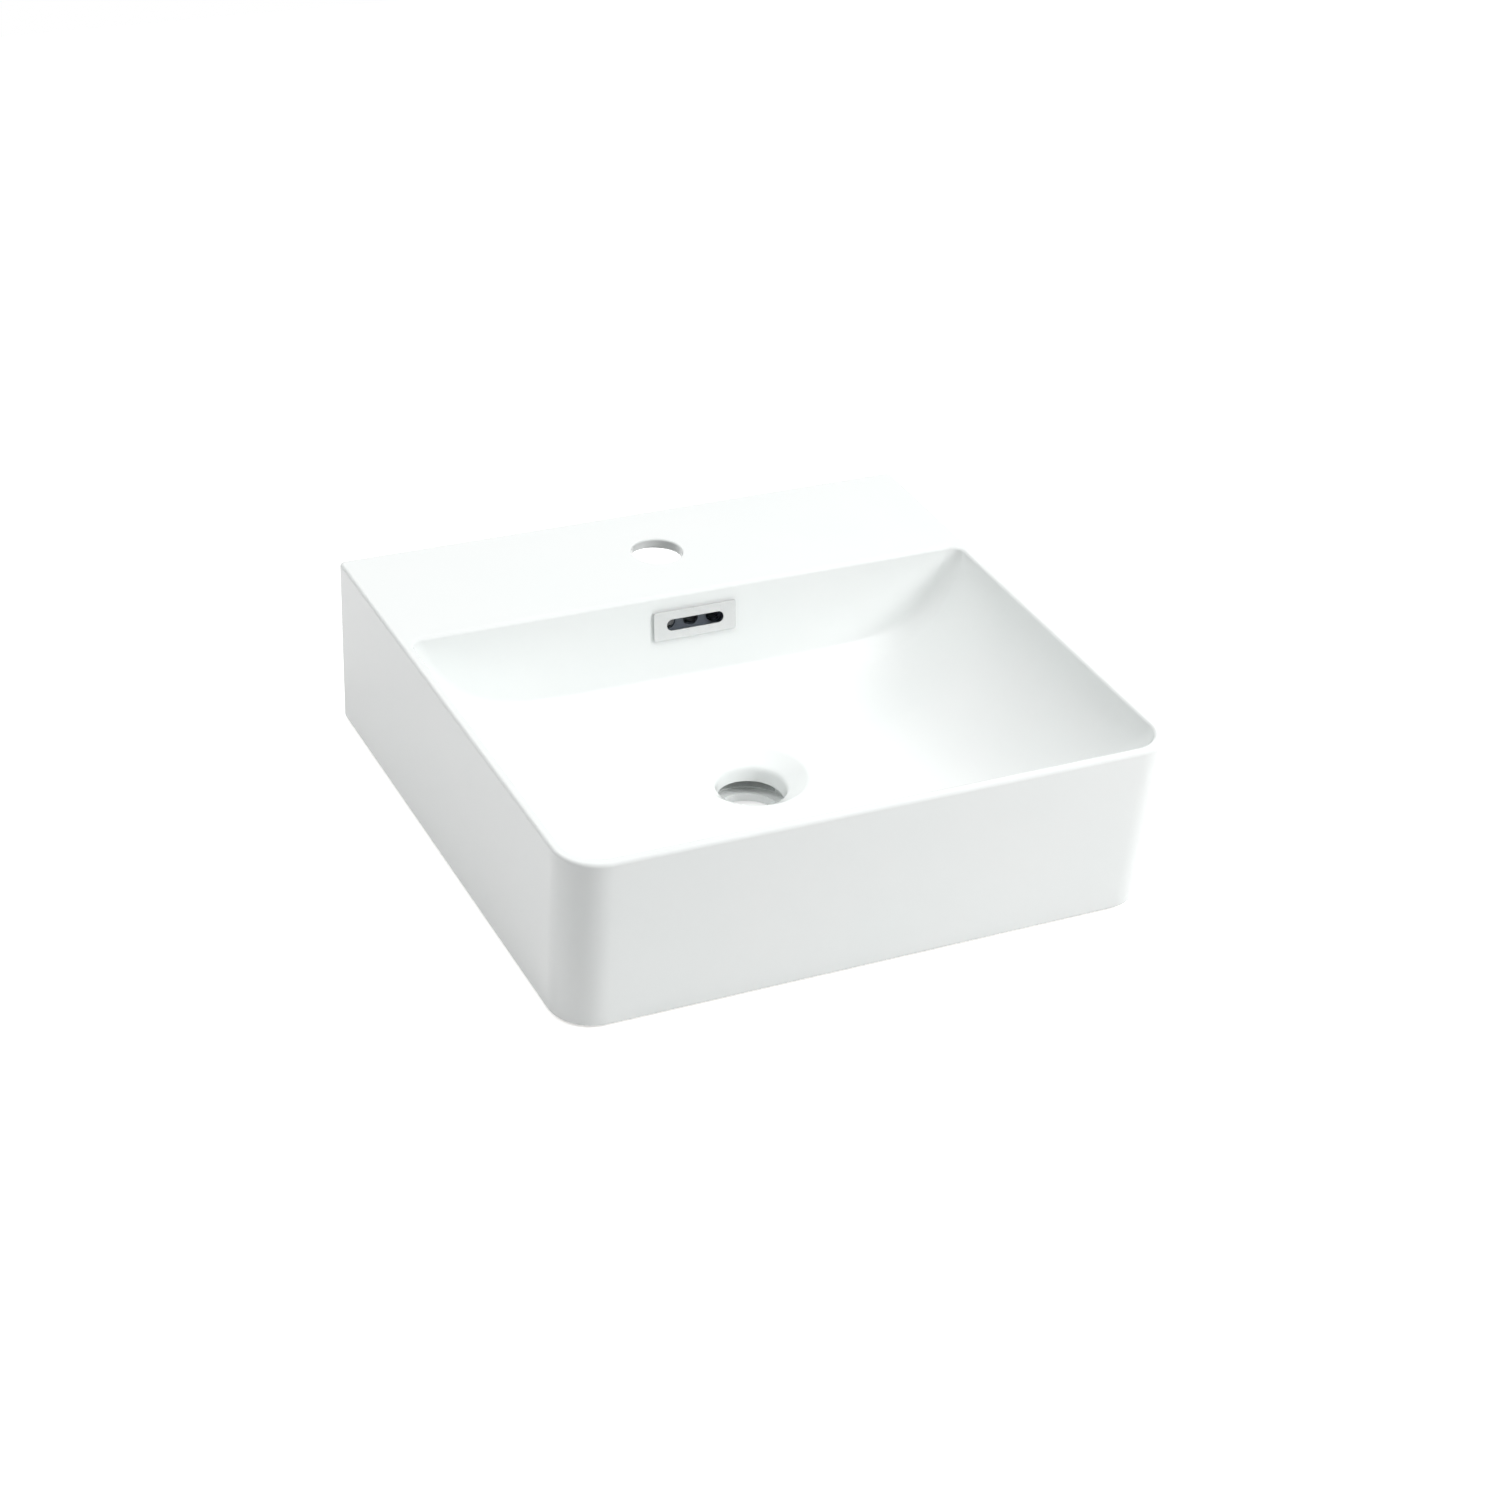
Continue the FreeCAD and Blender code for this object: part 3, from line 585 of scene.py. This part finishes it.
@dataclass
class Basin:
    """The one-piece casting: apron, deck, bowl, waste boss and overflow duct.

    The first five come from the frame. The rest are the casting's own, in millimetres unless a
    comment says otherwise. A comment also covers the lines under it that have none.
    """

    widest: float  # half the width, over the rounded rim
    foremost: float  # from the middle to the front, over the rounded rim
    half_depth: float  # from the middle to the rear face
    height: float  # from the foot to the rim
    mounts: dict[str, dict]  # the frame's mounts by name
    side_draft: float = 3.4  # how far the sides and the front lean in
    front_draft: float = 5.0
    front_corner: float = 28.5  # corner radii of the apron
    rear_corner: float = 4.5
    rim_edge: float = 2.4  # roundings of the edges
    mouth_edge: float = 2.2
    rear_edge: float = 4.6  # run of the mouth's softer rear edge
    foot_edge: float = 3.5
    boss_edge: float = 1.5
    tap_edge: float = 1.5
    bore_edge: Point = (1.4, 0.4)  # eased foot of the waste hole, and its middle
    hollow_edge: float = 3.5  # rounding under the deck
    rim_wall: float = 7.0  # wall thicknesses
    apron_wall: float = 8.0
    rear_wall: float = 10.0
    deck_thickness: float = 8.0
    bowl_wall: float = 9.0
    deck_depth: float = 116.5  # from the rear face to the bowl
    bowl_depth: float = 81.0  # from the rim to the foot of the walls
    fall: Point = (56.0, 0.25)  # radius and drop where the floor starts to fall
    floor_fall: float = 3.0  # drop from the foot of the walls to the dish
    side_slope: float = 0.2  # lean of the walls, run of the sweep after it
    side_sweep: float = 88.0
    front_slope: float = 0.2
    front_sweep: float = 60.0
    rear_slope: float = 0.16
    mouth_corners: Point = (21.5, 9.0)  # front and rear corner radii of the mouth
    front_floor_corner: float = 50.0  # front corner radius at the floor
    rear_fillet: float = 15.0  # fillet at the foot of the rear wall
    rear_rise: float = 22.0  # how far the floor rises to the rear wall
    rise_powers: Point = (1.5, 4.0)  # how it sets in, along the floor and down the walls
    dish_radius: float = 38.7  # the dish round the waste, and its edge from there
    dish_edge: tuple[Point, ...] = ((4.0, 0.5), (0.0, 0.0), (-2.5, -1.0))
    seat_radius: float = 23.6  # the seat in the dish, and its edge from there
    seat_edge: tuple[Point, ...] = ((3.0, 1.5), (1.6, 0.5), (0.8, -0.5),
                                    (0.2, -1.9), (-0.2, -3.8), (-0.4, -6.0))
    seat_drop: float = 9.0  # from the dish to the seat
    bore_drop: float = 9.0  # from the seat to the straight bore
    chamber_radius: float = 31.0  # ring chamber that joins the duct to the bore
    chamber_height: float = 10.0
    chamber_lip: float = 1.5  # from the bore's top to its ceiling
    boss_radius: float = 40.0
    boss_flare: float = 50.0  # radius where the boss meets the bowl
    boss_base: float = 2.0  # height of its underside
    tap_relief: float = 1.9  # easing of the tap hole's lower edge
    overflow_drop: float = 20.3  # from the rim to the middle of the overflow
    opening: Point = (53.0, 15.0)  # length and height of the overflow's opening
    access: Point = (160.0, 62.0)  # length and height of the access opening
    access_drop: float = 20.0  # from the rim to its upper edge
    access_corner: float = 12.0
    duct_length: float = 56.0  # inside width of the overflow duct, side to side
    duct_bore: float = 9.0  # its inside depth
    duct_wall: float = 7.0
    duct_bend: float = 24.0  # radius of its middle line
    duct_entry: float = 15.0  # how far it runs into the ring chamber
    duct_gap: float = 0.3  # from the deck's underside to its head
    shell_top: float = 0.8  # from the rim to the shell, in deck thicknesses
    shell_start: float = 0.08  # share of the bowl's depth where the shell starts
    bowl_steps: int = 26
    shell_steps: int = 14

    def mount_place(self, name: str) -> Vector:
        """Place of a mount of the frame, in millimetres."""
        return Vector(self.mounts[name]["pos_m"]) / MM

    @property
    def waste_forward(self) -> float:
        """How far the waste axis stands before the middle of the basin."""
        return -self.mount_place("waste_hole").y

    @property
    def floor_level(self) -> float:
        """Height of the floor at the foot of the bowl walls."""
        return self.height - self.bowl_depth

    @property
    def seat_level(self) -> float:
        """Height of the inner edge of the dished seat."""
        return self.floor_level - self.floor_fall - self.seat_drop

    @property
    def chamber_top(self) -> float:
        """Height of the ring chamber's ceiling."""
        return self.seat_level - self.bore_drop - self.chamber_lip

    @property
    def bowl_rear(self) -> float:
        """Place of the bowl's rear edge along y."""
        return self.half_depth - self.deck_depth

    @property
    def half_width(self) -> float:
        """Half the width at the rim, before its edge is rounded."""
        return self.widest + self.side_draft * self.rim_edge / self.height

    @property
    def front_reach(self) -> float:
        """Reach of the front at the rim, before its edge is rounded."""
        return self.foremost + self.front_draft * self.rim_edge / self.height

    def apron_outline(self, level: float) -> Outline:
        """Outside of the drafted apron at a height."""
        lean = 1 - level / self.height
        return Outline(level, self.half_width - self.side_draft * lean,
                       self.front_draft * lean - self.front_reach, self.half_depth,
                       self.front_corner, self.rear_corner)

    def apron(self) -> bpy.types.Object:
        """Solid apron with its foot and its rim rounded.

        Returns:
            The solid.
        """
        foot, rim = self.foot_edge, self.rim_edge
        lower = [self.apron_outline(level).inset(foot - across)
                 for across, level in quarter(0, foot, foot, -90)]
        upper = [self.apron_outline(level).inset(rim - across)
                 for across, level in quarter(0, self.height - rim, rim, 0)]
        return loft("apron", [*lower, *upper])

    def hollow(self) -> bpy.types.Object:
        """Open space under the casting, inside the apron, the rear wall and the deck.

        Returns:
            The space.
        """
        ceiling, turn = self.height - self.deck_thickness, self.hollow_edge

        def inside(level: float) -> Outline:
            """Inside of the apron and the rear wall at a height."""
            outline = self.apron_outline(level).inset(self.apron_wall)
            return replace(outline, rear=self.half_depth - self.rear_wall, far=self.rear_corner)

        curve = [inside(level).inset(turn - across)
                 for across, level in quarter(0, ceiling - turn, turn, 0)]
        return loft("hollow", [inside(-PAST), *curve])

    def inset(self, share: float, slope: float, sweep: float) -> float:
        """How far a wall has come in: a lean, then a quarter ellipse.

        Args:
            share: share of the bowl's depth.
            slope: the lean, run over drop.
            sweep: run of the ellipse.

        Returns:
            The inset in millimetres.
        """
        return slope * share * self.bowl_depth + sweep * (1 - math.sqrt(max(0.0, 1 - share ** 2)))

    def rear_curve(self, share: float) -> float:
        """Share of the rear fillet that is spent at a share of the bowl's depth."""
        return max(0.0, 1 - (1 - share) * self.bowl_depth / self.rear_fillet)

    def fillet_reach(self, share: float, radius: float) -> float:
        """How far the rear fillet reaches in from the side wall, along a level line.

        Args:
            share: share of the bowl's depth.
            radius: of the fillet between the side wall and the rear wall.

        Returns:
            The reach in millimetres.
        """
        foot = share
        just_over_one = 1.0001  # keeps the sweep's slope finite at the floor
        for _ in range(FILLET_ROUNDS):
            flat = math.sqrt(just_over_one - foot ** 2)
            steep = self.side_slope + self.side_sweep / self.bowl_depth * foot / flat
            foot = min(1.0, share + radius / self.bowl_depth * steep / math.hypot(1, steep))
        return (self.inset(foot, self.side_slope, self.side_sweep)
                - self.inset(share, self.side_slope, self.side_sweep) + radius / math.hypot(1, steep))

    def bowl_outline(self, share: float) -> Outline:
        """Inside of the bowl at a share of its depth.

        Args:
            share: share of the bowl's depth.

        Returns:
            The outline.
        """
        side = self.half_width - self.rim_wall - self.inset(share, self.side_slope, self.side_sweep)
        front = self.front_reach - self.rim_wall - self.inset(share, self.front_slope, self.front_sweep)
        spent = math.sqrt(1 - self.rear_curve(share) ** 2)
        rear = self.bowl_rear - self.rear_slope * share * self.bowl_depth - self.rear_fillet * (1 - spent)
        top_near, top_far = self.mouth_corners
        near = top_near + share * (self.front_floor_corner - top_near)
        radius = top_far + share * (self.rear_fillet - top_far)
        far = max(LEAST_CORNER, radius * spent)
        stretch = max(1.0, self.fillet_reach(share, radius) / far)
        return Outline(self.height - share * self.bowl_depth, side, -front, rear, near, far, stretch)

    def shares(self, steps: int, first: float) -> list[float]:
        """Shares of the bowl's depth, closer together near the floor, from a first share on."""
        start = math.degrees(math.asin(first))
        return [math.sin(math.radians(start + (90 - start) * step / steps)) for step in range(steps + 1)]

    def bowl(self) -> bpy.types.Object:
        """Space of the bowl, the dished seat, the waste hole and the ring chamber.

        Returns:
            The space.
        """
        edge = self.mouth_edge
        first = (edge - LIFT) / self.bowl_depth
        mouth = self.bowl_outline(first)
        flare = []
        for step in range(FLARE_STEPS, 0, -1):
            turn = math.radians(90 * step / FLARE_STEPS)
            opened = 1 - math.cos(turn)
            back = self.rear_edge * opened
            flare.append(replace(mouth.inset(-edge * opened), level=mouth.level + edge * math.sin(turn),
                                 rear=mouth.rear + back, far=mouth.far + back))
        walls = [self.bowl_outline(share) for share in self.shares(self.bowl_steps, first)]
        lid = flare[0].at(self.height + PAST)
        space = loft("bowl", [lid, *flare, *walls, *self.waste()])
        self.raise_rear(space)
        return space

    def raise_rear(self, space: bpy.types.Object) -> None:
        """Lift the rear of the bowl's floor, so that it falls from the rear wall to the waste.

        Args:
            space: the space of the bowl, changed in place.
        """
        start = self.dish_radius - self.waste_forward
        run = self.bowl_rear - self.rear_slope * self.bowl_depth - start
        along, down = self.rise_powers
        for vertex in space.data.vertices:
            behind = min(1.0, max(0.0, (vertex.co.y / MM - start) / run))
            share = min(1.0, max(0.0, (self.height - vertex.co.z / MM) / self.bowl_depth))
            vertex.co.z += MM * self.rear_rise * behind ** along * share ** down

    def waste(self) -> list[Ring]:
        """Rings of the floor's fall, the dish, the seat, the bore and the ring chamber.

        Returns:
            The rings, from the top down.
        """
        dish = self.floor_level - self.floor_fall
        bore_radius = self.mounts["waste_hole"]["dims"]["r_mm"]
        bore_top = self.seat_level - self.bore_drop
        chamber_base = self.chamber_top - self.chamber_height
        fall_radius, fall_drop = self.fall
        edge, middle = self.bore_edge
        rings = [(fall_radius, self.floor_level - fall_drop),
                 *[(self.dish_radius + across, dish + up) for across, up in self.dish_edge],
                 *[(self.seat_radius + across, self.seat_level + up) for across, up in self.seat_edge],
                 (bore_radius, bore_top),
                 (bore_radius, self.chamber_top),
                 (self.chamber_radius, self.chamber_top),
                 (self.chamber_radius, chamber_base),
                 (bore_radius, chamber_base),
                 (bore_radius, self.boss_base + edge),
                 (bore_radius + middle, self.boss_base + middle),
                 (bore_radius + edge, self.boss_base),
                 (bore_radius + edge, -PAST)]
        return [Ring(level, radius, self.waste_forward) for radius, level in rings]

    def shell(self) -> bpy.types.Object:
        """Outside of the bowl's shell, which merges into the apron near the rim.

        Returns:
            The solid.
        """
        top = self.height - self.shell_top * self.deck_thickness
        loops = []
        for share in self.shares(self.shell_steps, self.shell_start):
            inner = self.bowl_outline(share)
            grown = inner.inset(-self.bowl_wall * math.sqrt(max(0.0, 1 - share ** 2)))
            level = min(self.height - share * (self.bowl_depth + self.bowl_wall), top)
            limit = self.apron_outline(level).inset(self.rim_wall / 4)
            rear = inner.rear + self.bowl_wall * math.sqrt(1 - self.rear_curve(share) ** 2)
            loops.append(replace(grown, level=level, side=min(grown.side, limit.side),
                                 front=max(grown.front, limit.front), rear=rear))
        return loft("shell", loops[::-1])

    def boss(self) -> bpy.types.Object:
        """Round boss under the bowl that a waste fitting clamps.

        Returns:
            The solid.
        """
        top = self.floor_level - self.floor_fall - self.bowl_wall / 2
        shoulder = self.seat_level - self.bore_drop
        edge = self.boss_edge
        profile = [(0, self.boss_base), *quarter(self.boss_radius - edge, self.boss_base + edge, edge, -90),
                   (self.boss_radius, shoulder), (self.boss_flare, top), (0, top)]
        return turned("boss", profile, Matrix.Translation((0, -self.waste_forward, 0)))

    def duct(self, name: str, length: float, inner: float, outer: float) -> bpy.types.Object:
        """Solid that follows the overflow duct down the rear wall and forward to the boss.

        Args:
            name: the object's name.
            length: its width, side to side.
            inner: how far it reaches from the duct's middle line towards the bowl.
            outer: how far it reaches away from the bowl.

        Returns:
            The solid.
        """
        slope = self.rear_slope
        lean = math.atan(slope)
        top = self.height - self.deck_thickness - self.duct_gap
        start = self.bowl_rear - slope * (self.height - top) + self.bowl_wall + self.duct_bore / 2
        level = self.chamber_top - self.chamber_height / 2
        turn_level = level + self.duct_bend * (1 - math.sin(lean))
        drop = (top - turn_level) / math.cos(lean)
        inward = Vector((0, -math.cos(lean), math.sin(lean)))
        down = Vector((0, -math.sin(lean), -math.cos(lean)))
        head = Vector((-length / 2, start, top))
        mesh = bmesh.new()
        ends = [mesh.verts.new(head + inward * inner), mesh.verts.new(head - inward * outer)]
        section = [mesh.edges.new(ends)]

        def grow(step: Callable[[list], None]) -> None:
            """Sweep the section on by one face.

            Args:
                step: moves the new points to their places.
            """
            wide = bmesh.ops.extrude_edge_only(mesh, edges=section)["geom"]
            section[:] = [item for item in wide if isinstance(item, bmesh.types.BMEdge)
                          and all(vert in wide for vert in item.verts)]
            step([item for item in wide if isinstance(item, bmesh.types.BMVert)])

        grow(lambda verts: bmesh.ops.translate(mesh, vec=down * drop, verts=verts))
        centre = head + down * drop + inward * self.duct_bend
        turn = (math.pi / 2 - lean) / BEND_STEPS
        for _ in range(BEND_STEPS):
            grow(lambda verts: bmesh.ops.rotate(mesh, cent=centre, verts=verts,
                                                matrix=Matrix.Rotation(-turn, 3, "X")))
        run = centre.y - (self.chamber_radius - self.waste_forward - self.duct_entry)
        grow(lambda verts: bmesh.ops.translate(mesh, vec=(0, -run, 0), verts=verts))
        bmesh.ops.recalc_face_normals(mesh, faces=mesh.faces)
        raised = bmesh.ops.extrude_face_region(mesh, geom=mesh.faces[:], use_keep_orig=True)["geom"]
        bmesh.ops.translate(mesh, vec=(length, 0, 0),
                            verts=[item for item in raised if isinstance(item, bmesh.types.BMVert)])
        return as_piece(mesh, name)

    def wall_place(self) -> Matrix:
        """Turn and move from a flat drawing to the leaning rear wall, at the overflow.

        Returns:
            The turn and move, in millimetres.
        """
        face = self.bowl_rear - self.rear_slope * self.overflow_drop
        tilt = math.pi / 2 - math.atan(self.rear_slope)
        return (Matrix.Translation((0, face, self.height - self.overflow_drop))
                @ Matrix.Rotation(tilt, 4, "X"))

    def tap_hole(self) -> bpy.types.Object:
        """Space of the tap hole, with its upper edge rounded over and its lower edge eased.

        Returns:
            The space.
        """
        place = self.mount_place("tap_hole")
        radius = self.mounts["tap_hole"]["dims"]["r_mm"]
        edge = self.tap_edge
        top = self.height
        below, relief = top - self.deck_thickness, self.tap_relief
        turns = [math.radians(90 * step / ROUND_STEPS) for step in range(ROUND_STEPS + 1)]
        profile = [(0, below - relief), (radius + 2 * relief, below - relief), (radius, below + relief),
                   *[(radius + edge - edge * math.cos(turn), top - edge + LIFT + edge * math.sin(turn))
                     for turn in turns],
                   (radius + edge, top + PAST), (0, top + PAST)]
        return turned("tap hole", profile, Matrix.Translation((place.x, place.y, 0)))

    def fixing_hole(self, sign: int) -> bpy.types.Object:
        """Space of one hanger-bolt hole in the rear wall.

        Args:
            sign: -1 for the left one, 1 for the right one.

        Returns:
            The space.
        """
        place, dims = self.mount_place("wall_fixings"), self.mounts["wall_fixings"]["dims"]
        radius, reach = dims["hole_r_mm"], 2 * self.rear_wall
        profile = [(0, -reach), (radius, -reach), (radius, reach), (0, reach)]
        move = Matrix.Translation((place.x + sign * dims["spacing_x_mm"] / 2, place.y, place.z))
        return turned("fixing hole", profile, move @ Matrix.Rotation(math.pi / 2, 4, "X"), steps=48)

    def access_opening(self) -> bpy.types.Object:
        """Space of the opening in the rear wall through which a hand reaches the tap.

        Returns:
            The space.
        """
        middle = self.height - self.access_drop - self.access[1] / 2
        place = Matrix.Translation((0, self.half_depth, middle)) @ Matrix.Rotation(math.pi / 2, 4, "X")
        reach = 2 * self.rear_wall
        return slot_prism("access", self.access, (-reach, reach), place, self.access_corner)

    def build(self) -> bpy.types.Object:
        """Build the whole casting.

        Returns:
            The piece, which stands for the casting's node.
        """
        piece = self.apron()
        half = self.duct_bore / 2
        reach = self.bowl_wall + half
        tools = [(self.hollow(), Cut.REMOVE),
                 (self.shell(), Cut.ADD),
                 (self.boss(), Cut.ADD),
                 (self.duct("duct wall", self.duct_length + 2 * self.duct_wall,
                            half + self.duct_wall + self.bowl_wall, half + self.duct_wall), Cut.ADD),
                 (self.bowl(), Cut.REMOVE),
                 (self.duct("duct bore", self.duct_length, half, half), Cut.REMOVE),
                 (slot_prism("opening", self.opening, (-reach, reach), self.wall_place()), Cut.REMOVE),
                 (self.access_opening(), Cut.REMOVE),
                 (self.tap_hole(), Cut.REMOVE),
                 (self.fixing_hole(-1), Cut.REMOVE),
                 (self.fixing_hole(1), Cut.REMOVE)]
        combine(piece, tools)
        piece.name = "glazed_basin"
        smooth(piece)
        return piece


@dataclass
class OverflowCover:
    """Chromed cover plate with rounded edges and a long slot.

    Attributes:
        place: turn and move from a flat drawing to the bowl's rear wall.
        length: side to side.
        height: along the wall.
        gap: between the wall and its back.
        thickness: its thickness.
        corner: its corner radius.
        edge: rounding of its face's edge.
        step: how far its back stands in from its edge, which leaves a shadow gap.
        step_rise: where the back is at full size again, in steps from the back.
        slot: the slot's length and height.
        recess: length and height of the hollow in the back, which takes the carrier's flange.
        recess_face: level of the hollow's floor off the wall.
        past: how far the cutting bodies go past the plate.
    """

    place: Matrix
    length: float = 60.5
    height: float = 20.8
    gap: float = 0.15
    thickness: float = 2.0
    corner: float = 1.6
    edge: float = 0.4
    step: float = 0.6
    step_rise: float = 1.2
    slot: Point = (42.0, 8.0)
    recess: Point = (57.2, 19.2)
    recess_face: float = 1.4
    past: float = 1.0

    def build(self) -> bpy.types.Object:
        """Build the plate.

        Returns:
            The piece, which stands for the cover's node.
        """
        outline = Outline(self.gap, self.length / 2, -self.height / 2, self.height / 2,
                          self.corner, self.corner)
        face = self.gap + self.thickness
        curve = [outline.inset(self.edge - across).at(level)
                 for across, level in quarter(0, face - self.edge, self.edge, 0)]
        back = outline.inset(self.step)
        piece = loft("overflow_plate", [back, back.at(self.gap + self.step),
                                        outline.at(self.gap + self.step_rise * self.step), *curve])
        move, turn, _ = self.place.decompose()
        piece.data.transform(Matrix.Translation(move * MM) @ turn.to_matrix().to_4x4())
        recess = slot_prism("recess", self.recess, (-self.past, self.recess_face), self.place)
        slot = slot_prism("slot", self.slot, (-self.past, face + self.past), self.place)
        combine(piece, [(recess, Cut.REMOVE), (slot, Cut.REMOVE)])
        smooth(piece)
        return piece


# The studio

LAMP_AIM = (0, 0, 0.06)  # metres, the middle of the basin


@dataclass(frozen=True)
class Softbox:
    """Square softbox that faces the basin and that no mirror shows.

    Attributes:
        name: its name.
        place: its place in metres.
        size: its side in metres.
        power: its power in watts.
    """

    name: str
    place: tuple[float, float, float]
    size: float
    power: float

    def build(self) -> None:
        """Hang the softbox."""
        data = bpy.data.lights.new(self.name, "AREA")
        data.shape = "SQUARE"
        data.size = self.size
        data.energy = self.power
        lamp = bpy.data.objects.new(self.name, data)
        lamp.visible_glossy = False
        bpy.context.scene.collection.objects.link(lamp)
        aim = Vector(LAMP_AIM) - Vector(self.place)
        turn = aim.to_track_quat("-Z", "Y").to_matrix().to_4x4()
        lamp.matrix_world = Matrix.Translation(self.place) @ turn


SOFTBOXES = (Softbox("key", (1.7, -1.5, 1.45), 0.9, 33.5),
             Softbox("overhead", (0, 0, 2.6), 2.0, 11.3),
             Softbox("overhead, left", (-1.4, 0, 2.2), 1.4, 20.4),
             Softbox("overhead, behind", (0, 1.8, 2), 1.6, 16.7),
             Softbox("high, right", (0.9, -0.9, 2.4), 1.2, 20.7),
             Softbox("right, behind", (1.8, 1.8, 1), 1.2, 5.5),
             Softbox("left, behind", (-1.8, 1.7, 1), 1.2, 1.8))


@dataclass
class Studio:
    """Pale floor, soft lamps and the camera.

    Attributes:
        eye: the camera's place in millimetres.
        aim: the point that it looks at.
        roll: its roll in degrees.
        lens: focal length on a 36 mm wide sensor.
        mirrored: strength of the white room in mirrors and through glass.
        floor_reach: half the floor's side in metres.
        floor_gap: how far below the foot it lies, in metres.
        floor_glow: how much white the camera and mirrors see added to the floor.
    """

    eye: tuple[float, float, float] = (-840.9, -1606.0, 1158.5)
    aim: tuple[float, float, float] = (2.8, -9.0, 50.0)
    roll: float = 4.262
    lens: float = 76.86
    mirrored: float = 0.8
    floor_reach: float = 1.6
    floor_gap: float = 0.0005
    floor_glow: float = 0.6

    def camera(self) -> None:
        """Set up the camera."""
        data = bpy.data.cameras.new("camera")
        data.lens = self.lens
        data.sensor_width = 36.0
        data.clip_start = 0.01
        camera = bpy.data.objects.new("camera", data)
        bpy.context.scene.collection.objects.link(camera)
        sight = Vector(self.aim) - Vector(self.eye)
        turn = sight.to_track_quat("-Z", "Y").to_matrix() @ Matrix.Rotation(math.radians(self.roll), 3, "Z")
        camera.matrix_world = Matrix.Translation(Vector(self.eye) * MM) @ turn.to_4x4()
        bpy.context.scene.camera = camera

    def floor(self) -> None:
        """Lay the pale floor, which shows white and keeps the basin's shadow."""
        mesh = bmesh.new()
        bmesh.ops.create_grid(mesh, x_segments=8, y_segments=8, size=self.floor_reach)
        data = bpy.data.meshes.new("floor")
        mesh.to_mesh(data)
        mesh.free()
        floor = bpy.data.objects.new("floor", data)
        floor.location.z = -self.floor_gap
        bpy.context.scene.collection.objects.link(floor)
        material, tree, output = new_material("Matt white sweep")
        rays = add_node(tree, "ShaderNodeLightPath")
        seen = add_math(tree, "MAXIMUM", rays.outputs["Is Camera Ray"], rays.outputs["Is Glossy Ray"])
        lift = add_math(tree, "MULTIPLY", seen, self.floor_glow)
        paint = add_node(tree, "ShaderNodeBsdfDiffuse", {"Color": linear("#F2F2F2")})
        glow = add_node(tree, "ShaderNodeEmission", {"Strength": lift})
        both = add_node(tree, "ShaderNodeAddShader", {0: paint.outputs[0], 1: glow.outputs[0]})
        tree.links.new(both.outputs[0], output.inputs["Surface"])
        floor.data.materials.append(material)

    def world(self) -> None:
        """Let the camera see a white room, and mirrors a slightly dimmer one."""
        world = bpy.data.worlds.new("studio")
        bpy.context.scene.world = world
        world.use_nodes = True
        tree = world.node_tree
        tree.nodes.clear()
        rays = add_node(tree, "ShaderNodeLightPath")
        mirrored = add_math(tree, "MAXIMUM", rays.outputs["Is Glossy Ray"],
                            rays.outputs["Is Transmission Ray"])
        dimmed = add_math(tree, "MULTIPLY", mirrored, self.mirrored)
        seen = add_math(tree, "MAXIMUM", rays.outputs["Is Camera Ray"], dimmed)
        sky = add_node(tree, "ShaderNodeBackground",
                       {"Color": linear("#FFFFFF"), "Strength": seen})
        output = add_node(tree, "ShaderNodeOutputWorld")
        tree.links.new(sky.outputs[0], output.inputs["Surface"])

    def build(self) -> None:
        """Set the whole studio up."""
        bpy.context.scene.view_settings.view_transform = "Standard"
        self.camera()
        self.floor()
        self.world()
        for softbox in SOFTBOXES:
            softbox.build()


def main() -> None:
    """Build every piece, dress it and report it."""
    logging.basicConfig(level=logging.INFO, format="%(name)s: %(message)s")
    low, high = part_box("basin_body")
    mounts = {mount["name"]: mount for mount in frame["record"]["mounts"]}
    basin = Basin(widest=(high.x - low.x) / 2 / MM - FIT, foremost=-low.y / MM - FIT,
                  half_depth=high.y / MM, height=high.z / MM, mounts=mounts)
    china = GlazedChina().material()
    casting = basin.build()
    dress(casting, china)
    cover = OverflowCover(basin.wall_place()).build()
    dress(cover, ChromePlate().material())
    for piece, node, slot in ((casting, "basin_body", "ceramic"),
                              (cover, "overflow_cover", "chrome")):
        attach(piece, BODY)
        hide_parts(node)
        log.info("%s: %d faces", piece.name, len(piece.data.polygons))
    dress(frame["nodes"]["overflow_carrier"], SLATE_ABS.material())
    dress(frame["nodes"]["overflow_seal"], BLACK_EPDM.material())
    Studio().build()


if __name__ == "__main__":
    main()
